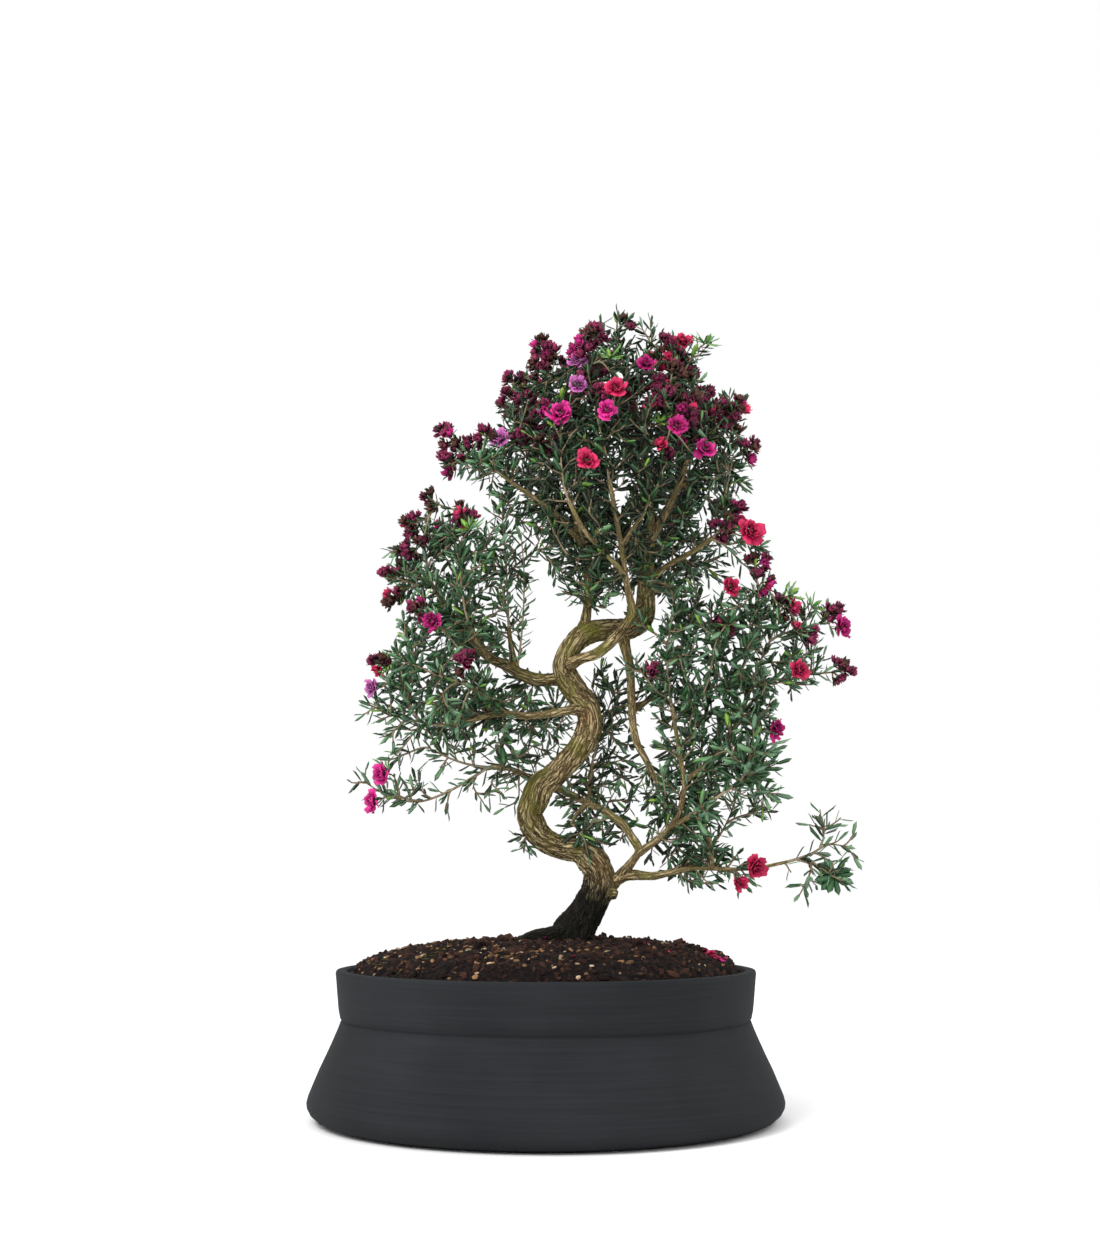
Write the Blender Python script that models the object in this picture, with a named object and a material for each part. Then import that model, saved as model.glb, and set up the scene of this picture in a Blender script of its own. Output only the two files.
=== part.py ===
"""A tea tree bonsai in a round pot: pot, soil, trunk, leafy sprays and flowering twigs.

Lengths are in millimetres and become metres where a mesh is made. +Z is up, and the origin is the
centre of the pot's flat base. The front of the tree faces -Y.
"""

import math
import random

import bmesh
import bpy
from mathutils import Vector
from mathutils.bvhtree import BVHTree

MM = 0.001
GAP = 0.3

# Pot: a flared skirt under an upright collar, thrown in one piece
POT_HEIGHT = 90.0
POT_SIDES = 42
POT_OUTSIDE = [
    (134.0, 0.0), (142.5, 2.2), (146.8, 7.5), (145.6, 14.0), (138.2, 31.0), (131.0, 46.0),
    (126.6, 57.6), (128.5, 63.0), (130.0, POT_HEIGHT - 1.5), (128.6, POT_HEIGHT),
]
POT_INSIDE = [(123.2, POT_HEIGHT), (122.0, POT_HEIGHT - 1.5), (118.6, 56.5), (136.0, 15.0), (131.0, 9.0)]
DRAIN_HOLES = 3
DRAIN_RADIUS = 7.0
DRAIN_CIRCLE = 60.0
DRAIN_SIDES = 12

# Soil: a mound round the foot of the trunk, from the pot's wall to a plain hole
SOIL_EDGE_HEIGHT = 86.5
SOIL_MOUND = [(0.95, 91.5), (0.86, 97.5), (0.70, 103.5), (0.48, 106.6), (0.28, 107.8)]
SOIL_ROUGHNESS = 0.7
HOLE_RADIUS = 17.2
HOLE_FLOOR = 69.7
HOLE_SIDES = 20
TRUNK_FOOT = (16.0, 0.0)

# Wood: every line is (x, y, z, radius), from the parent's heart to the tip
TRUNK = [
    (16, 0, 70, 15.5), (16, 0, 100, 16), (17, 0, 109.5, 15), (22.5, -1, 120, 11.5), (28, -2, 130, 10.3),
    (33, -2, 141, 10), (32.5, -1, 150, 9.6), (27, 1, 158, 9), (20, 3, 161.8, 7.4), (9.5, 4, 164.5, 7.2),
    (-2, 3, 170, 7.6), (-8, 1, 178, 8), (-10, -1, 186, 8.4), (-7, -3, 194, 8.6), (-3, -4, 202.5, 8.6),
    (4.3, -4, 208.5, 7.7), (13.5, -3, 217.5, 7.5), (21, -1, 226.5, 7.6), (26, 1, 235, 8), (27.8, 2, 245, 7.6),
    (26, 3, 253, 7.7), (20, 3, 261, 7.9), (14, 2, 270, 7.6), (11, 0, 279, 6.8), (14.5, -1, 288, 6.6),
    (21, 0, 296.5, 7), (30, 2, 301, 7), (42, 4, 302, 7), (54, 4, 303.5, 6.9), (61.5, 2, 310, 6.9),
    (63.5, 0, 322, 5.8), (64, -1, 340, 4.8), (66, 0, 360, 3.8), (67, 2, 385, 3.1), (65, 4, 410, 2.5),
    (61, 5, 434, 2.0), (56, 5, 456, 1.6),
]
LIMBS = {
    "root": [(15, -3, 113, 5), (6, -7, 112.5, 3.6), (-6, -9, 111.6, 2.6), (-16, -10, 111, 1.6)],
    "knob": [(33, -3, 136, 5), (40, -6, 136, 4.5), (44, -7, 135, 2.6)],
    "front": [
        (14, -2, 279, 3.6), (22.6, -10, 282, 3.5), (32, -13, 285, 3.5), (41.5, -14, 292.7, 3.4),
        (49.4, -14, 302, 3.2), (54, -15, 311, 2.8), (52.5, -17, 320, 2.3), (49.5, -20, 334, 1.9),
        (47, -26, 351, 1.7), (43, -34, 371, 1.5), (39, -42, 390, 1.3),
    ],
    "front_right": [(47, -26, 351, 1.6), (58, -34, 366, 1.5), (68, -42, 384, 1.3)],
    "front_left": [(49.5, -20, 334, 1.7), (38, -32, 344, 1.6), (24, -44, 357, 1.5), (14, -52, 374, 1.3)],
    "upright": [
        (22, 1, 298, 3.9), (25.5, 4, 310, 3.3), (27, 8, 325, 2.8), (26.7, 12, 345, 2.4), (22, 14, 368, 2.0),
        (14, 12, 392, 1.7), (6, 8, 416, 1.4),
    ],
    "back_top": [(26.7, 12, 345, 2.0), (30, 28, 366, 1.8), (31, 46, 392, 1.6), (28, 58, 420, 1.4)],
    "back_left_top": [(22, 14, 368, 1.8), (8, 30, 384, 1.6), (-4, 44, 402, 1.4)],
    "left_shoulder": [(24, 13, 358, 1.9), (6, 6, 378, 1.8), (-12, 0, 390, 1.6), (-28, -4, 401, 1.3)],
    "right_top": [(66, 0, 358, 2.6), (78, -3, 380, 2.2), (88, -6, 402, 1.8), (93, -8, 424, 1.4)],
    "right_edge": [(84, -5, 393, 1.7), (102, 4, 402, 1.5), (114, 8, 412, 1.3)],
    "back_right_top": [(64, -1, 342, 2.6), (70, 16, 354, 2.2), (82, 34, 374, 1.8), (92, 48, 398, 1.4)],
    "back_right": [(63.5, 0, 322, 2.4), (74, 24, 332, 1.9), (88, 42, 348, 1.4)],
    "right_mid": [(63.8, 0, 330, 2.4), (76, 2, 342, 2.0), (94, -2, 352, 1.7), (106, -8, 360, 1.4)],
    "left_high": [
        (13, 2, 271, 4.8), (5, 5, 270.5, 4.3), (-6.5, 6, 270.5, 4.1), (-16, 4, 274, 3.8), (-25, 1, 279, 3.5),
        (-36, 0, 284, 3.1), (-48, 0, 296, 2.7), (-60, 0, 311, 2.3), (-71, -2, 328, 1.7),
    ],
    "left_inner": [(-19, 3, 275.5, 2.2), (-22, 8, 290, 1.9), (-24, 12, 304, 1.4)],
    "left_front": [(-36, 0, 284, 2.1), (-43, -16, 292, 1.8), (-48, -28, 302, 1.4)],
    "left_back": [(-48, 0, 296, 2.1), (-53, 18, 306, 1.8), (-58, 34, 318, 1.4)],
    "left_mid": [
        (20, 0, 251, 3.4), (13, -6, 249.5, 2.8), (3, -9, 247.6, 2.6), (-11, -9, 246, 2.5),
        (-26, -8, 247.5, 2.4), (-36, -8, 246.6, 2.2), (-50, -8, 243, 2.0), (-64, -8, 240, 1.5),
    ],
    "left_low_front": [(-26, -8, 247.5, 2.0), (-36, -22, 254, 1.7), (-46, -36, 262, 1.4)],
    "left_low_back": [(-36, -8, 246.6, 2.0), (-46, 12, 250, 1.8), (-58, 30, 256, 1.4)],
    "arch": [
        (45, -2, 145, 3.2), (53, -7, 155, 2.8), (57.5, -8, 163, 2.7), (52.6, -4, 172, 2.6),
        (48.3, 1, 178.8, 2.5), (42, 6, 183.6, 2.4), (35, 10, 188.4, 2.3), (28, 13, 191.5, 2.2),
        (17.6, 15, 197, 2.1), (8, 16, 201.5, 2.0), (-4, 16, 206, 1.9), (-13, 12, 210, 1.8),
        (-22, 6, 213.5, 1.6), (-34, 0, 215, 1.4),
    ],
    "arch_twig": [(28, 13, 191.5, 1.7), (28, 14, 204, 1.4), (29, 14, 216, 1.3)],
    "arch_stub": [(26, 13.5, 192.5, 1.6), (20, 12, 186, 1.4), (16, 10, 179, 1.1)],
    "hanging": [
        (48, 4, 301, 4.0), (51, 1, 288, 3.6), (53, 0, 278, 3.4), (53.8, -1, 263, 3.1), (54.3, -1, 248.6, 2.9),
        (55, -1, 239, 2.7), (57.5, 0, 229, 2.5), (62.5, 1, 220, 2.2), (67, 2, 211, 1.9), (71, 2, 203, 1.5),
    ],
    "inner_back": [(54.2, -1, 250, 2.2), (64, 14, 257, 1.8), (76, 28, 267, 1.4)],
    "right_stem": [
        (57.5, -8, 161, 2.2), (70, -11, 170, 1.9), (77, -12, 177, 1.8), (82, -13, 184, 1.7),
        (84.7, -13, 194.5, 1.7), (86, -13, 205, 1.6), (84, -13, 217, 1.5), (81, -12, 237, 1.4),
        (78.6, -11, 252, 1.3),
    ],
    "right_low": [(77, -12, 177, 1.6), (90, -22, 184, 1.5), (104, -28, 194, 1.3)],
    "right_lobe": [
        (86, -13, 205, 1.7), (98, -10, 214, 1.7), (112, -6, 228, 1.6), (122, -3, 246, 1.5), (129, -1, 264, 1.3),
    ],
    "low_right": [
        (38, -1, 141, 5.0), (47, -3, 146, 3.8), (55, -4, 147.3, 3.3), (66, -5, 146.6, 2.8),
        (80, -6, 149.5, 2.2), (92, -6, 151.5, 1.8), (112, -6, 151, 1.5), (130, -6, 151.5, 1.4),
        (150, -5, 155.5, 1.2),
    ],
    "dark_stem": [
        (103, -6, 151.2, 1.6), (103, -2, 163, 1.5), (100, 1, 176, 1.5), (98, 4, 190, 1.4), (97, 7, 204, 1.3),
    ],
    "flower_stub": [(110, -6, 151, 1.4), (116, -10, 150, 1.3)],
    "back_low": [(80, -6, 149.5, 1.9), (94, 10, 156, 1.6), (108, 24, 168, 1.4)],
}
TRUNK_SIDES = 10
THICK_LIMB = 3.0

# Leafy sprays: the limb that carries each one, and the main shoot's points beyond the limb's tip
SPRAYS = {
    "apex": ("trunk", [(50, 3, 478), (46, 1, 501)]),
    "top_left": ("upright", [(0, 2, 438), (-4, -4, 460)]),
    "top_front": ("front", [(36, -46, 410), (30, -40, 438), (27, -27, 464)]),
    "front_right": ("front_right", [(75, -44, 404), (77, -38, 424)]),
    "front_left": ("front_left", [(10, -52, 392), (9, -46, 414)]),
    "back_top": ("back_top", [(24, 62, 446), (20, 55, 474)]),
    "back_left_top": ("back_left_top", [(-12, 50, 424), (-18, 46, 452)]),
    "left_shoulder": ("left_shoulder", [(-38, -5, 407), (-46, -2, 415)]),
    "right_top": ("right_top", [(91, -10, 446), (86, -12, 472)]),
    "right_edge": ("right_edge", [(120, 12, 428), (121, 14, 450)]),
    "back_right_top": ("back_right_top", [(97, 54, 424), (93, 53, 458)]),
    "back_right": ("back_right", [(102, 54, 362), (116, 56, 386)]),
    "right_mid": ("right_mid", [(114, -7, 372), (114, 0, 396)]),
    "left_high": ("left_high", [(-76, -3, 344), (-78, -4, 366)]),
    "left_inner": ("left_inner", [(-25, 12, 330), (-28, 6, 375)]),
    "left_front": ("left_front", [(-52, -32, 322), (-54, -24, 354)]),
    "left_back": ("left_back", [(-62, 42, 340), (-60, 44, 374)]),
    "left_mid": ("left_mid", [(-82, -10, 243), (-96, -12, 246), (-106, -12, 251)]),
    "left_low_front": ("left_low_front", [(-62, -40, 267), (-86, -36, 277)]),
    "left_low_back": ("left_low_back", [(-76, 40, 264), (-98, 38, 284)]),
    "low_left": ("arch", [(-46, -1, 208), (-62, 1, 199), (-80, 3, 193), (-98, 5, 196), (-114, 6, 205)]),
    "inner_low": ("arch_twig", [(34, 18, 234), (43, 22, 262)]),
    "hanging": ("hanging", [(78, 3, 190), (82, 5, 170)]),
    "inner_back": ("inner_back", [(87, 38, 284), (92, 44, 316)]),
    "right_stem": ("right_stem", [(76, -13, 276), (77, -14, 294), (80, -15, 318)]),
    "right_low": ("right_low", [(113, -29, 200), (124, -28, 205), (134, -26, 198)]),
    "right_lobe": ("right_lobe", [(136, -2, 282), (143, -5, 298), (147, -6, 318)]),
    "dark_stem": ("dark_stem", [(99, 10, 228), (103, 10, 262), (107, 4, 292)]),
    "low_right": ("low_right", [(164, -4, 160), (176, -3, 166), (187, -2, 165)]),
    "back_low": ("back_low", [(120, 34, 188), (132, 38, 224)]),
}
# Side shoots that the tree shows plainly: where each leaves its main shoot, then its tip
SIDE_SHOOTS = {
    "apex": [((50, 3, 474), (66, 6, 496)), ((52, 3, 470), (34, 10, 494))],
    "top_left": [((0, 2, 436), (-20, 8, 440))],
    "back_left_top": [((-10, 48, 420), (-34, 46, 424))],
    "right_edge": [((118, 10, 420), (124, 14, 402))],
    "back_top": [((25, 61, 440), (46, 66, 462))],
    "back_right": [((98, 50, 358), (112, 62, 352))],
    "right_mid": [((113, -6, 370), (134, 2, 350))],
    "left_high": [((-76, -3, 342), (-96, 6, 346))],
    "left_inner": [((-25, 11, 320), (-16, 2, 350))],
    "left_back": [((-60, 38, 330), (-82, 44, 348))],
    "left_mid": [((-80, -10, 243), (-92, -14, 230)), ((-84, -10, 243), (-99, -4, 262))],
    "left_low_front": [((-60, -39, 266), (-60, -50, 244))],
    "left_low_back": [((-70, 36, 262), (-66, 52, 238))],
    "low_left": [((-42, 0, 210), (-70, 0, 221)), ((-62, 1, 199), (-96, 0, 214))],
    "right_low": [((112, -29, 199), (128, -38, 222))],
    "dark_stem": [((99, 10, 226), (120, 16, 214)), ((102, 10, 258), (122, 20, 274))],
    "right_lobe": [((137, -2, 284), (168, 8, 282))],
    "low_right": [
        ((154, -4, 157), (158, -10, 143)), ((162, -4, 160), (180, -8, 149)), ((168, -4, 163), (176, 4, 180)),
    ],
    "back_low": [((118, 32, 184), (136, 26, 190))],
}

# Flowering twigs: the spray (or bare limb) that carries each, then (kind, x, y, z) for every head
BLOOMS = {
    "top_left": ("top_left", [("bud", -5, -14, 473), ("bud", -3, -12, 486), ("bud", 4, -14, 479),
                              ("bud", -22, -10, 464), ("bud", -26, -12, 452)]),
    "apex": ("top_front", [("open", 20, -24, 471), ("bud", 22, -22, 483), ("bud", 31, -16, 492)]),
    "top_right": ("right_top", [("bud", 76, -16, 486), ("open", 88, -10, 488), ("open", 64, -30, 466),
                                ("bud", 72, -30, 458)]),
    "purple": ("front_left", [("open", 9, -48, 430), ("bud", -3, -42, 436), ("open", 20, -40, 451),
                              ("bud", 32, -46, 445)]),
    "pink": ("top_front", [("open", 37, -62, 429), ("open", 43, -54, 445)]),
    "crimson": ("front_left", [("open", 25, -64, 397)]),
    "upper_right": ("front_right", [("bud", 79, -38, 447), ("bud", 68, -44, 440), ("bud", 87, -44, 434)]),
    "right_shoulder": ("right_top", [("bud", 102, -22, 452), ("bud", 92, -34, 443), ("bud", 111, -20, 441),
                                     ("bud", 124, -12, 447), ("bud", 121, -16, 433), ("bud", 131, -10, 420)]),
    "front_right": ("front_right", [("open", 80, -58, 420), ("bud", 71, -58, 407), ("open", 98, -44, 409)]),
    "left_shoulder": ("left_shoulder", [("bud", -55, -9, 420), ("bud", -66, -8, 429), ("bud", -65, -10, 410),
                                        ("open", -29, -14, 423), ("bud", -41, -10, 428)]),
    "left_high": ("left_high", [("bud", -76, -8, 386), ("bud", -88, -8, 371), ("bud", -87, -12, 354),
                                ("bud", -53, -16, 374)]),
    "left_edge": ("left_high", [("bud", -99, -12, 321), ("bud", -103, -9, 335)]),
    "left_front": ("left_front", [("open", -70, -36, 302), ("bud", -82, -30, 312), ("bud", -52, -50, 276)]),
    "left_tip": ("left_mid", [("open", -109, -16, 263), ("bud", -107, -12, 279)]),
    "low_left": ("low_left", [("open", -102, -12, 209), ("open", -108, -12, 193)]),
    "right_mid": ("right_mid", [("open", 128, -24, 361), ("bud", 114, -22, 366), ("bud", 120, -18, 378)]),
    "right_inner": ("dark_stem", [("bud", 114, -18, 303), ("open", 116, -16, 327)]),
    "right_high": ("right_lobe", [("bud", 140, -12, 333), ("bud", 138, -8, 345), ("bud", 154, -16, 315),
                                  ("bud", 166, -18, 299)]),
    "right_tip": ("right_lobe", [("open", 186, -8, 304), ("bud", 185, -4, 312)]),
    "right_low": ("right_lobe", [("open", 157, -28, 273), ("bud", 190, -6, 275)]),
    "right_under": ("right_lobe", [("open", 144, -10, 238)]),
    "inner": ("right_stem", [("bud", 66, -28, 270)]),
    "low_branch": ("flower_stub", [("open", 128, -18, 151), ("bud", 120, -19, 143)]),
    "back_top": ("back_top", [("bud", 14, 58, 489), ("open", 27, 70, 480)]),
    "back_right_top": ("back_right_top", [("open", 96, 68, 466), ("bud", 86, 60, 474)]),
    "back_left": ("left_back", [("bud", -58, 54, 391), ("open", -72, 56, 376)]),
    "back_right": ("back_right", [("bud", 120, 66, 402), ("open", 130, 66, 384)]),
}

# The egg-shaped masses that free side shoots stay inside: (centre, half sizes)
CROWN_MASSES = [((53, 5, 412), (66, 62, 82)), ((-56, 0, 300), (46, 54, 74)), ((112, 0, 246), (56, 52, 74))]

# Shoots and leaves
SHOOT_RADIUS = 1.0
TIP_RADIUS = 0.7
NODE_STEP = 16.5
NODE_HEIGHT = 1.5
LEAF_LENGTH = 10.0
LEAF_HALF_WIDTH = 1.45
LEAF_WIDEST_AT = 0.42
LEAF_TILT = (42, 62)
LEAF_BALLS = [(0.45, 1.4), (0.75, 0.9), (1.0, 0.4)]
FREE_SHOOT_LENGTH = 28.0
FREE_SHOOT_TRIES = 24
BOWS = (0.4, 0.25, 0.6, 0.9)
CLEARANCE = 0.6

# Flowers: (height, radius) of a flower's cup and of a bud above its foot, then their petals
CUP = [(1.2, 2.6), (2.8, 3.3), (4.4, 2.3)]
CUP_TOP = 4.9
BUD = [(1.6, 2.7), (4.6, 3.0)]
BUD_TOP = 6.6
PETALS = 5
PETAL_REACH = 5.6
PETAL_HALF_WIDTH = 3.0
PETAL_THICKNESS = 0.9
PETAL_LIFT = 0.35
INNER_PETAL_REACH = 4.0
SEPAL_REACH = 3.0
SEPAL_LIFT = 0.6
HEAD_REACH = {"open": 7.8, "bud": 5.4}
HEAD_GAP = 0.4
STALK_LENGTH = 6.0
STALK_RADIUS = 1.1
FORKED_STALK = 20.0
SEAT_ROOM = 2.0
CROWN_HEART = Vector((40, 5, 300))
SEED = 11

rng = random.Random(SEED)


def clear_scene():
    for old in list(bpy.data.objects):
        bpy.data.objects.remove(old, do_unlink=True)


def material(name, color, roughness):
    """A Principled material with a linear base colour."""
    made = bpy.data.materials.new(name)
    made.use_nodes = True
    shader = made.node_tree.nodes["Principled BSDF"]
    shader.inputs["Base Color"].default_value = (*color, 1.0)
    shader.inputs["Roughness"].default_value = roughness
    shader.inputs["Metallic"].default_value = 0.0
    return made


def solid(name, points, faces, look):
    """A named object from millimetre points, with its faces turned outwards."""
    mesh = bpy.data.meshes.new(name)
    mesh.from_pydata([Vector(p) * MM for p in points], [], faces)
    shape = bmesh.new()
    shape.from_mesh(mesh)
    bmesh.ops.recalc_face_normals(shape, faces=shape.faces[:])
    shape.to_mesh(mesh)
    shape.free()
    mesh.materials.append(look)
    made = bpy.data.objects.new(name, mesh)
    bpy.context.scene.collection.objects.link(made)
    return made


# Turned bodies: the pot and the soil

def circle(radius, z, sides, centre=(0.0, 0.0)):
    turn = 2 * math.pi / sides
    return [(centre[0] + radius * math.cos(i * turn), centre[1] + radius * math.sin(i * turn), z)
            for i in range(sides)]


def band(low, high, low_start, high_start):
    """Triangles between two rings, which may have different numbers of points."""
    faces = []
    i = j = 0
    while i < low or j < high:
        if j == high or (i < low and (i + 1) * high <= (j + 1) * low):
            faces.append((low_start + i % low, low_start + (i + 1) % low, high_start + j % high))
            i += 1
        else:
            faces.append((low_start + i % low, high_start + (j + 1) % high, high_start + j % high))
            j += 1
    return faces


def stacked(name, rings, look):
    """A closed body through a list of rings, with a flat face on each end ring."""
    points = []
    starts = []
    for ring in rings:
        starts.append(len(points))
        points += ring
    faces = [list(range(len(rings[0])))[::-1]]
    for k in range(len(rings) - 1):
        faces += band(len(rings[k]), len(rings[k + 1]), starts[k], starts[k + 1])
    faces.append(list(range(starts[-1], len(points))))
    return solid(name, points, faces, look)


def build_pot(look):
    rings = [circle(radius, z, POT_SIDES) for radius, z in POT_OUTSIDE + POT_INSIDE]
    pot = stacked("pot", rings, look)
    floor_top = POT_INSIDE[-1][1]
    for k in range(DRAIN_HOLES):
        angle = 2 * math.pi * (k + 0.5) / DRAIN_HOLES
        centre = (DRAIN_CIRCLE * math.cos(angle), DRAIN_CIRCLE * math.sin(angle))
        ends = [circle(DRAIN_RADIUS, z, DRAIN_SIDES, centre) for z in (-5.0, floor_top + 5.0)]
        cut_away(pot, stacked(f"drain_cutter_{k}", ends, look))
    return pot


def soil_ring(share, height):
    """One ring of the mound: a share of the way from the hole to the pot's wall, a little uneven."""
    edge = POT_INSIDE[1][0] - GAP
    radius = HOLE_RADIUS + share * (edge - HOLE_RADIUS)
    centre = [(1 - share) * c for c in TRUNK_FOOT]
    sides = POT_SIDES if share > 0.9 else HOLE_SIDES
    ring = circle(radius, height, sides, centre)
    return [(x, y, z + SOIL_ROUGHNESS * math.sin(x * 0.11 + 1.0) * math.cos(y * 0.09) + 0.008 * (-x))
            for x, y, z in ring]


def build_soil(look):
    wall = [(radius - GAP * 1.5, z) for radius, z in POT_INSIDE[2:-1]][::-1]
    floor_radius, floor_height = POT_INSIDE[-1]
    rings = [circle(floor_radius - 1.0, floor_height + GAP, POT_SIDES)]
    rings += [circle(radius, z, POT_SIDES) for radius, z in wall]
    rings.append(circle(POT_INSIDE[1][0] - 2 * GAP, SOIL_EDGE_HEIGHT, POT_SIDES))
    rings += [soil_ring(share, height) for share, height in SOIL_MOUND]
    rings.append(circle(HOLE_RADIUS, SOIL_MOUND[-1][1], HOLE_SIDES, TRUNK_FOOT))
    rings.append(circle(HOLE_RADIUS, HOLE_FLOOR, HOLE_SIDES, TRUNK_FOOT))
    return stacked("soil", rings, look)


# Booleans

def apply_boolean(body, setup):
    boolean = body.modifiers.new("join", "BOOLEAN")
    setup(boolean)
    graph = bpy.context.evaluated_depsgraph_get()
    result = bpy.data.meshes.new_from_object(body.evaluated_get(graph))
    body.modifiers.clear()
    old = body.data
    body.data = result
    bpy.data.meshes.remove(old)


def cut_away(body, cutter):
    def setup(boolean):
        boolean.operation = "DIFFERENCE"
        boolean.object = cutter
    apply_boolean(body, setup)
    bpy.data.objects.remove(cutter, do_unlink=True)


def join_all(body, others):
    """One Boolean union of a body with all the others, which are then removed."""
    group = bpy.data.collections.new(body.name + "_repeats")
    for other in others:
        group.objects.link(other)

    def setup(boolean):
        boolean.operation = "UNION"
        boolean.operand_type = "COLLECTION"
        boolean.collection = group
    apply_boolean(body, setup)
    for other in others:
        bpy.data.objects.remove(other, do_unlink=True)
    bpy.data.collections.remove(group)


# Wood

def across(direction, near):
    """The part of a vector that stands square on a direction, at unit length."""
    side = near - direction * near.dot(direction)
    if side.length < 1e-6:
        side = direction.orthogonal()
    return side.normalized()


def tangents(path):
    last = len(path) - 1
    return [(path[min(i + 1, last)] - path[max(i - 1, 0)]).normalized() for i in range(last + 1)]


def swept(name, line, sides, look):
    """A closed round limb along (x, y, z, radius) points."""
    path = [Vector(p[:3]) for p in line]
    side = Vector((0, -1, 0.2))
    rings = []
    for here, along, place in zip(path, tangents(path), line):
        side = across(along, side)
        other = along.cross(side)
        radius = place[3]
        turn = 2 * math.pi / sides
        rings.append([here + side * radius * math.cos(k * turn) + other * radius * math.sin(k * turn)
                      for k in range(sides)])
    return stacked(name, rings, look)


def limb_sides(line):
    return 6 if line[0][3] > THICK_LIMB else 5


def build_wood(look):
    trunk = swept("trunk", TRUNK, TRUNK_SIDES, look)
    limbs = [swept("limb_" + name, line, limb_sides(line), look) for name, line in LIMBS.items()]
    join_all(trunk, limbs)
    return trunk


# What is already taken: balls along every piece, so that shoots and leaves keep clear

class Taken:
    def __init__(self):
        self.balls = []

    def add(self, centre, radius, owner):
        self.balls.append((centre, radius, owner))

    def add_line(self, start, end, radius, owner):
        steps = max(1, int((end - start).length / 2.5))
        for k in range(steps + 1):
            self.add(start.lerp(end, k / steps), radius, owner)

    def room(self, centre, radius, owners=()):
        """The free distance round a ball, without the owners' own balls."""
        return min(((centre - other).length - radius - size
                    for other, size, owner in self.balls if owner not in owners), default=99.0)


taken = Taken()
SKINS = []


def note_wood():
    for name, line in [("trunk", TRUNK)] + list(LIMBS.items()):
        for low, high in zip(line, line[1:]):
            taken.add_line(Vector(low[:3]), Vector(high[:3]), max(low[3], high[3]), "wood")


# A skin of triangles, on which shoots, leaves and petals are raised from single facets

class Skin:
    def __init__(self):
        self.points = []
        self.facets = {}
        self.known = None

    def put(self, facets):
        self.facets.update(dict.fromkeys(facets))

    def tree(self):
        """The skin's search tree with its box, made again when the skin has changed."""
        if self.known is None or self.known[0] != len(self.points):
            used = [self.points[i] for facet in self.facets for i in facet]
            low = [min(p[k] for p in used) for k in range(3)]
            high = [max(p[k] for p in used) for k in range(3)]
            self.known = (len(self.points), BVHTree.FromPolygons(self.points, list(self.facets)), low, high)
        return self.known[1:]

    def crosses(self, first_new):
        """Whether the skin crosses itself, or its new part crosses another skin."""
        facets = list(self.facets)
        tree, _, _ = self.tree()
        if any(a < b and not set(facets[a]) & set(facets[b]) for a, b in tree.overlap(tree)):
            return True
        fresh = self.points[first_new:]
        low = [min(p[k] for p in fresh) for k in range(3)]
        high = [max(p[k] for p in fresh) for k in range(3)]
        new_tree = BVHTree.FromPolygons(self.points, [f for f in facets if max(f) >= first_new])
        for other in SKINS:
            if other is self or not other.facets:
                continue
            other_tree, other_low, other_high = other.tree()
            if any(low[k] > other_high[k] or other_low[k] > high[k] for k in range(3)):
                continue
            if new_tree.overlap(other_tree):
                return True
        return False

    def attempt(self, grow):
        """Lets a function grow something, and takes it back where anything would cross."""
        points, facets = list(self.points), dict(self.facets)
        made = grow()
        if not self.crosses(len(points)):
            return made
        self.points, self.facets, self.known = points, facets, None
        return None

    def ring(self, corners):
        first = len(self.points)
        self.points += corners
        return tuple(range(first, first + len(corners)))

    def middle(self, facet):
        return sum((self.points[i] for i in facet), Vector()) / len(facet)

    def outward(self, facet):
        a, b, c = (self.points[i] for i in facet)
        return (b - a).cross(c - a).normalized()

    def close(self, ring):
        self.put([ring])
        return ring

    def wall(self, low, high):
        """Two triangles on each side between two rings of as many points."""
        made = []
        count = len(low)
        for k in range(count):
            n = (k + 1) % count
            made.append((low[k], low[n], high[n]))
            made.append((low[k], high[n], high[k]))
        self.put(made)
        return made

    def cone(self, ring, tip):
        top = len(self.points)
        self.points.append(tip)
        made = [(ring[k], ring[(k + 1) % len(ring)], top) for k in range(len(ring))]
        self.put(made)
        return made

    def round_ring(self, centre, along, near, radius, count=3):
        side = across(along, near)
        other = along.cross(side)
        turn = 2 * math.pi / count
        return self.ring([centre + side * radius * math.cos(k * turn) + other * radius * math.sin(k * turn)
                          for k in range(count)])

    def as_solid(self, name, look):
        return solid(name, self.points, [list(f) for f in self.facets], look)


def smooth_path(points, step):
    """Places along a curve through the points, about a step apart."""
    places = []
    count = len(points)
    for i in range(count - 1):
        before = points[max(i - 1, 0)]
        after = points[min(i + 2, count - 1)]
        a, b = points[i], points[i + 1]
        pieces = max(1, round((b - a).length / step))
        for k in range(pieces):
            t = k / pieces
            curve = (2 * a + (b - before) * t + (2 * before - 5 * a + 4 * b - after) * t * t
                     + (3 * a - before - 3 * b + after) * t ** 3)
            places.append(curve / 2)
    places.append(points[-1])
    return places


def grow_shoot(skin, base, places, arrive, start_radius, end_radius, with_nodes=True):
    """Raises a three-sided shoot from a ring through the places. Returns its nodes and its end facet."""
    nodes = []
    ring = base
    ways = tangents(places)[:-1] + [arrive]
    last = len(places) - 1
    for i in range(1, last + 1):
        here, along = places[i], ways[i]
        radius = start_radius + (end_radius - start_radius) * i / last
        near = skin.points[ring[0]] - skin.middle(ring)
        half = along * (NODE_HEIGHT / 2 if with_nodes else 0)
        low = skin.round_ring(here - half, along, near, radius)
        band_facets = skin.wall(ring, low)
        ring = low
        if with_nodes:
            ring = skin.round_ring(here + half, along, near, radius)
            band_facets = skin.wall(low, ring)
        nodes.append((here, along, band_facets))
    return nodes, skin.close(ring)


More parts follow.
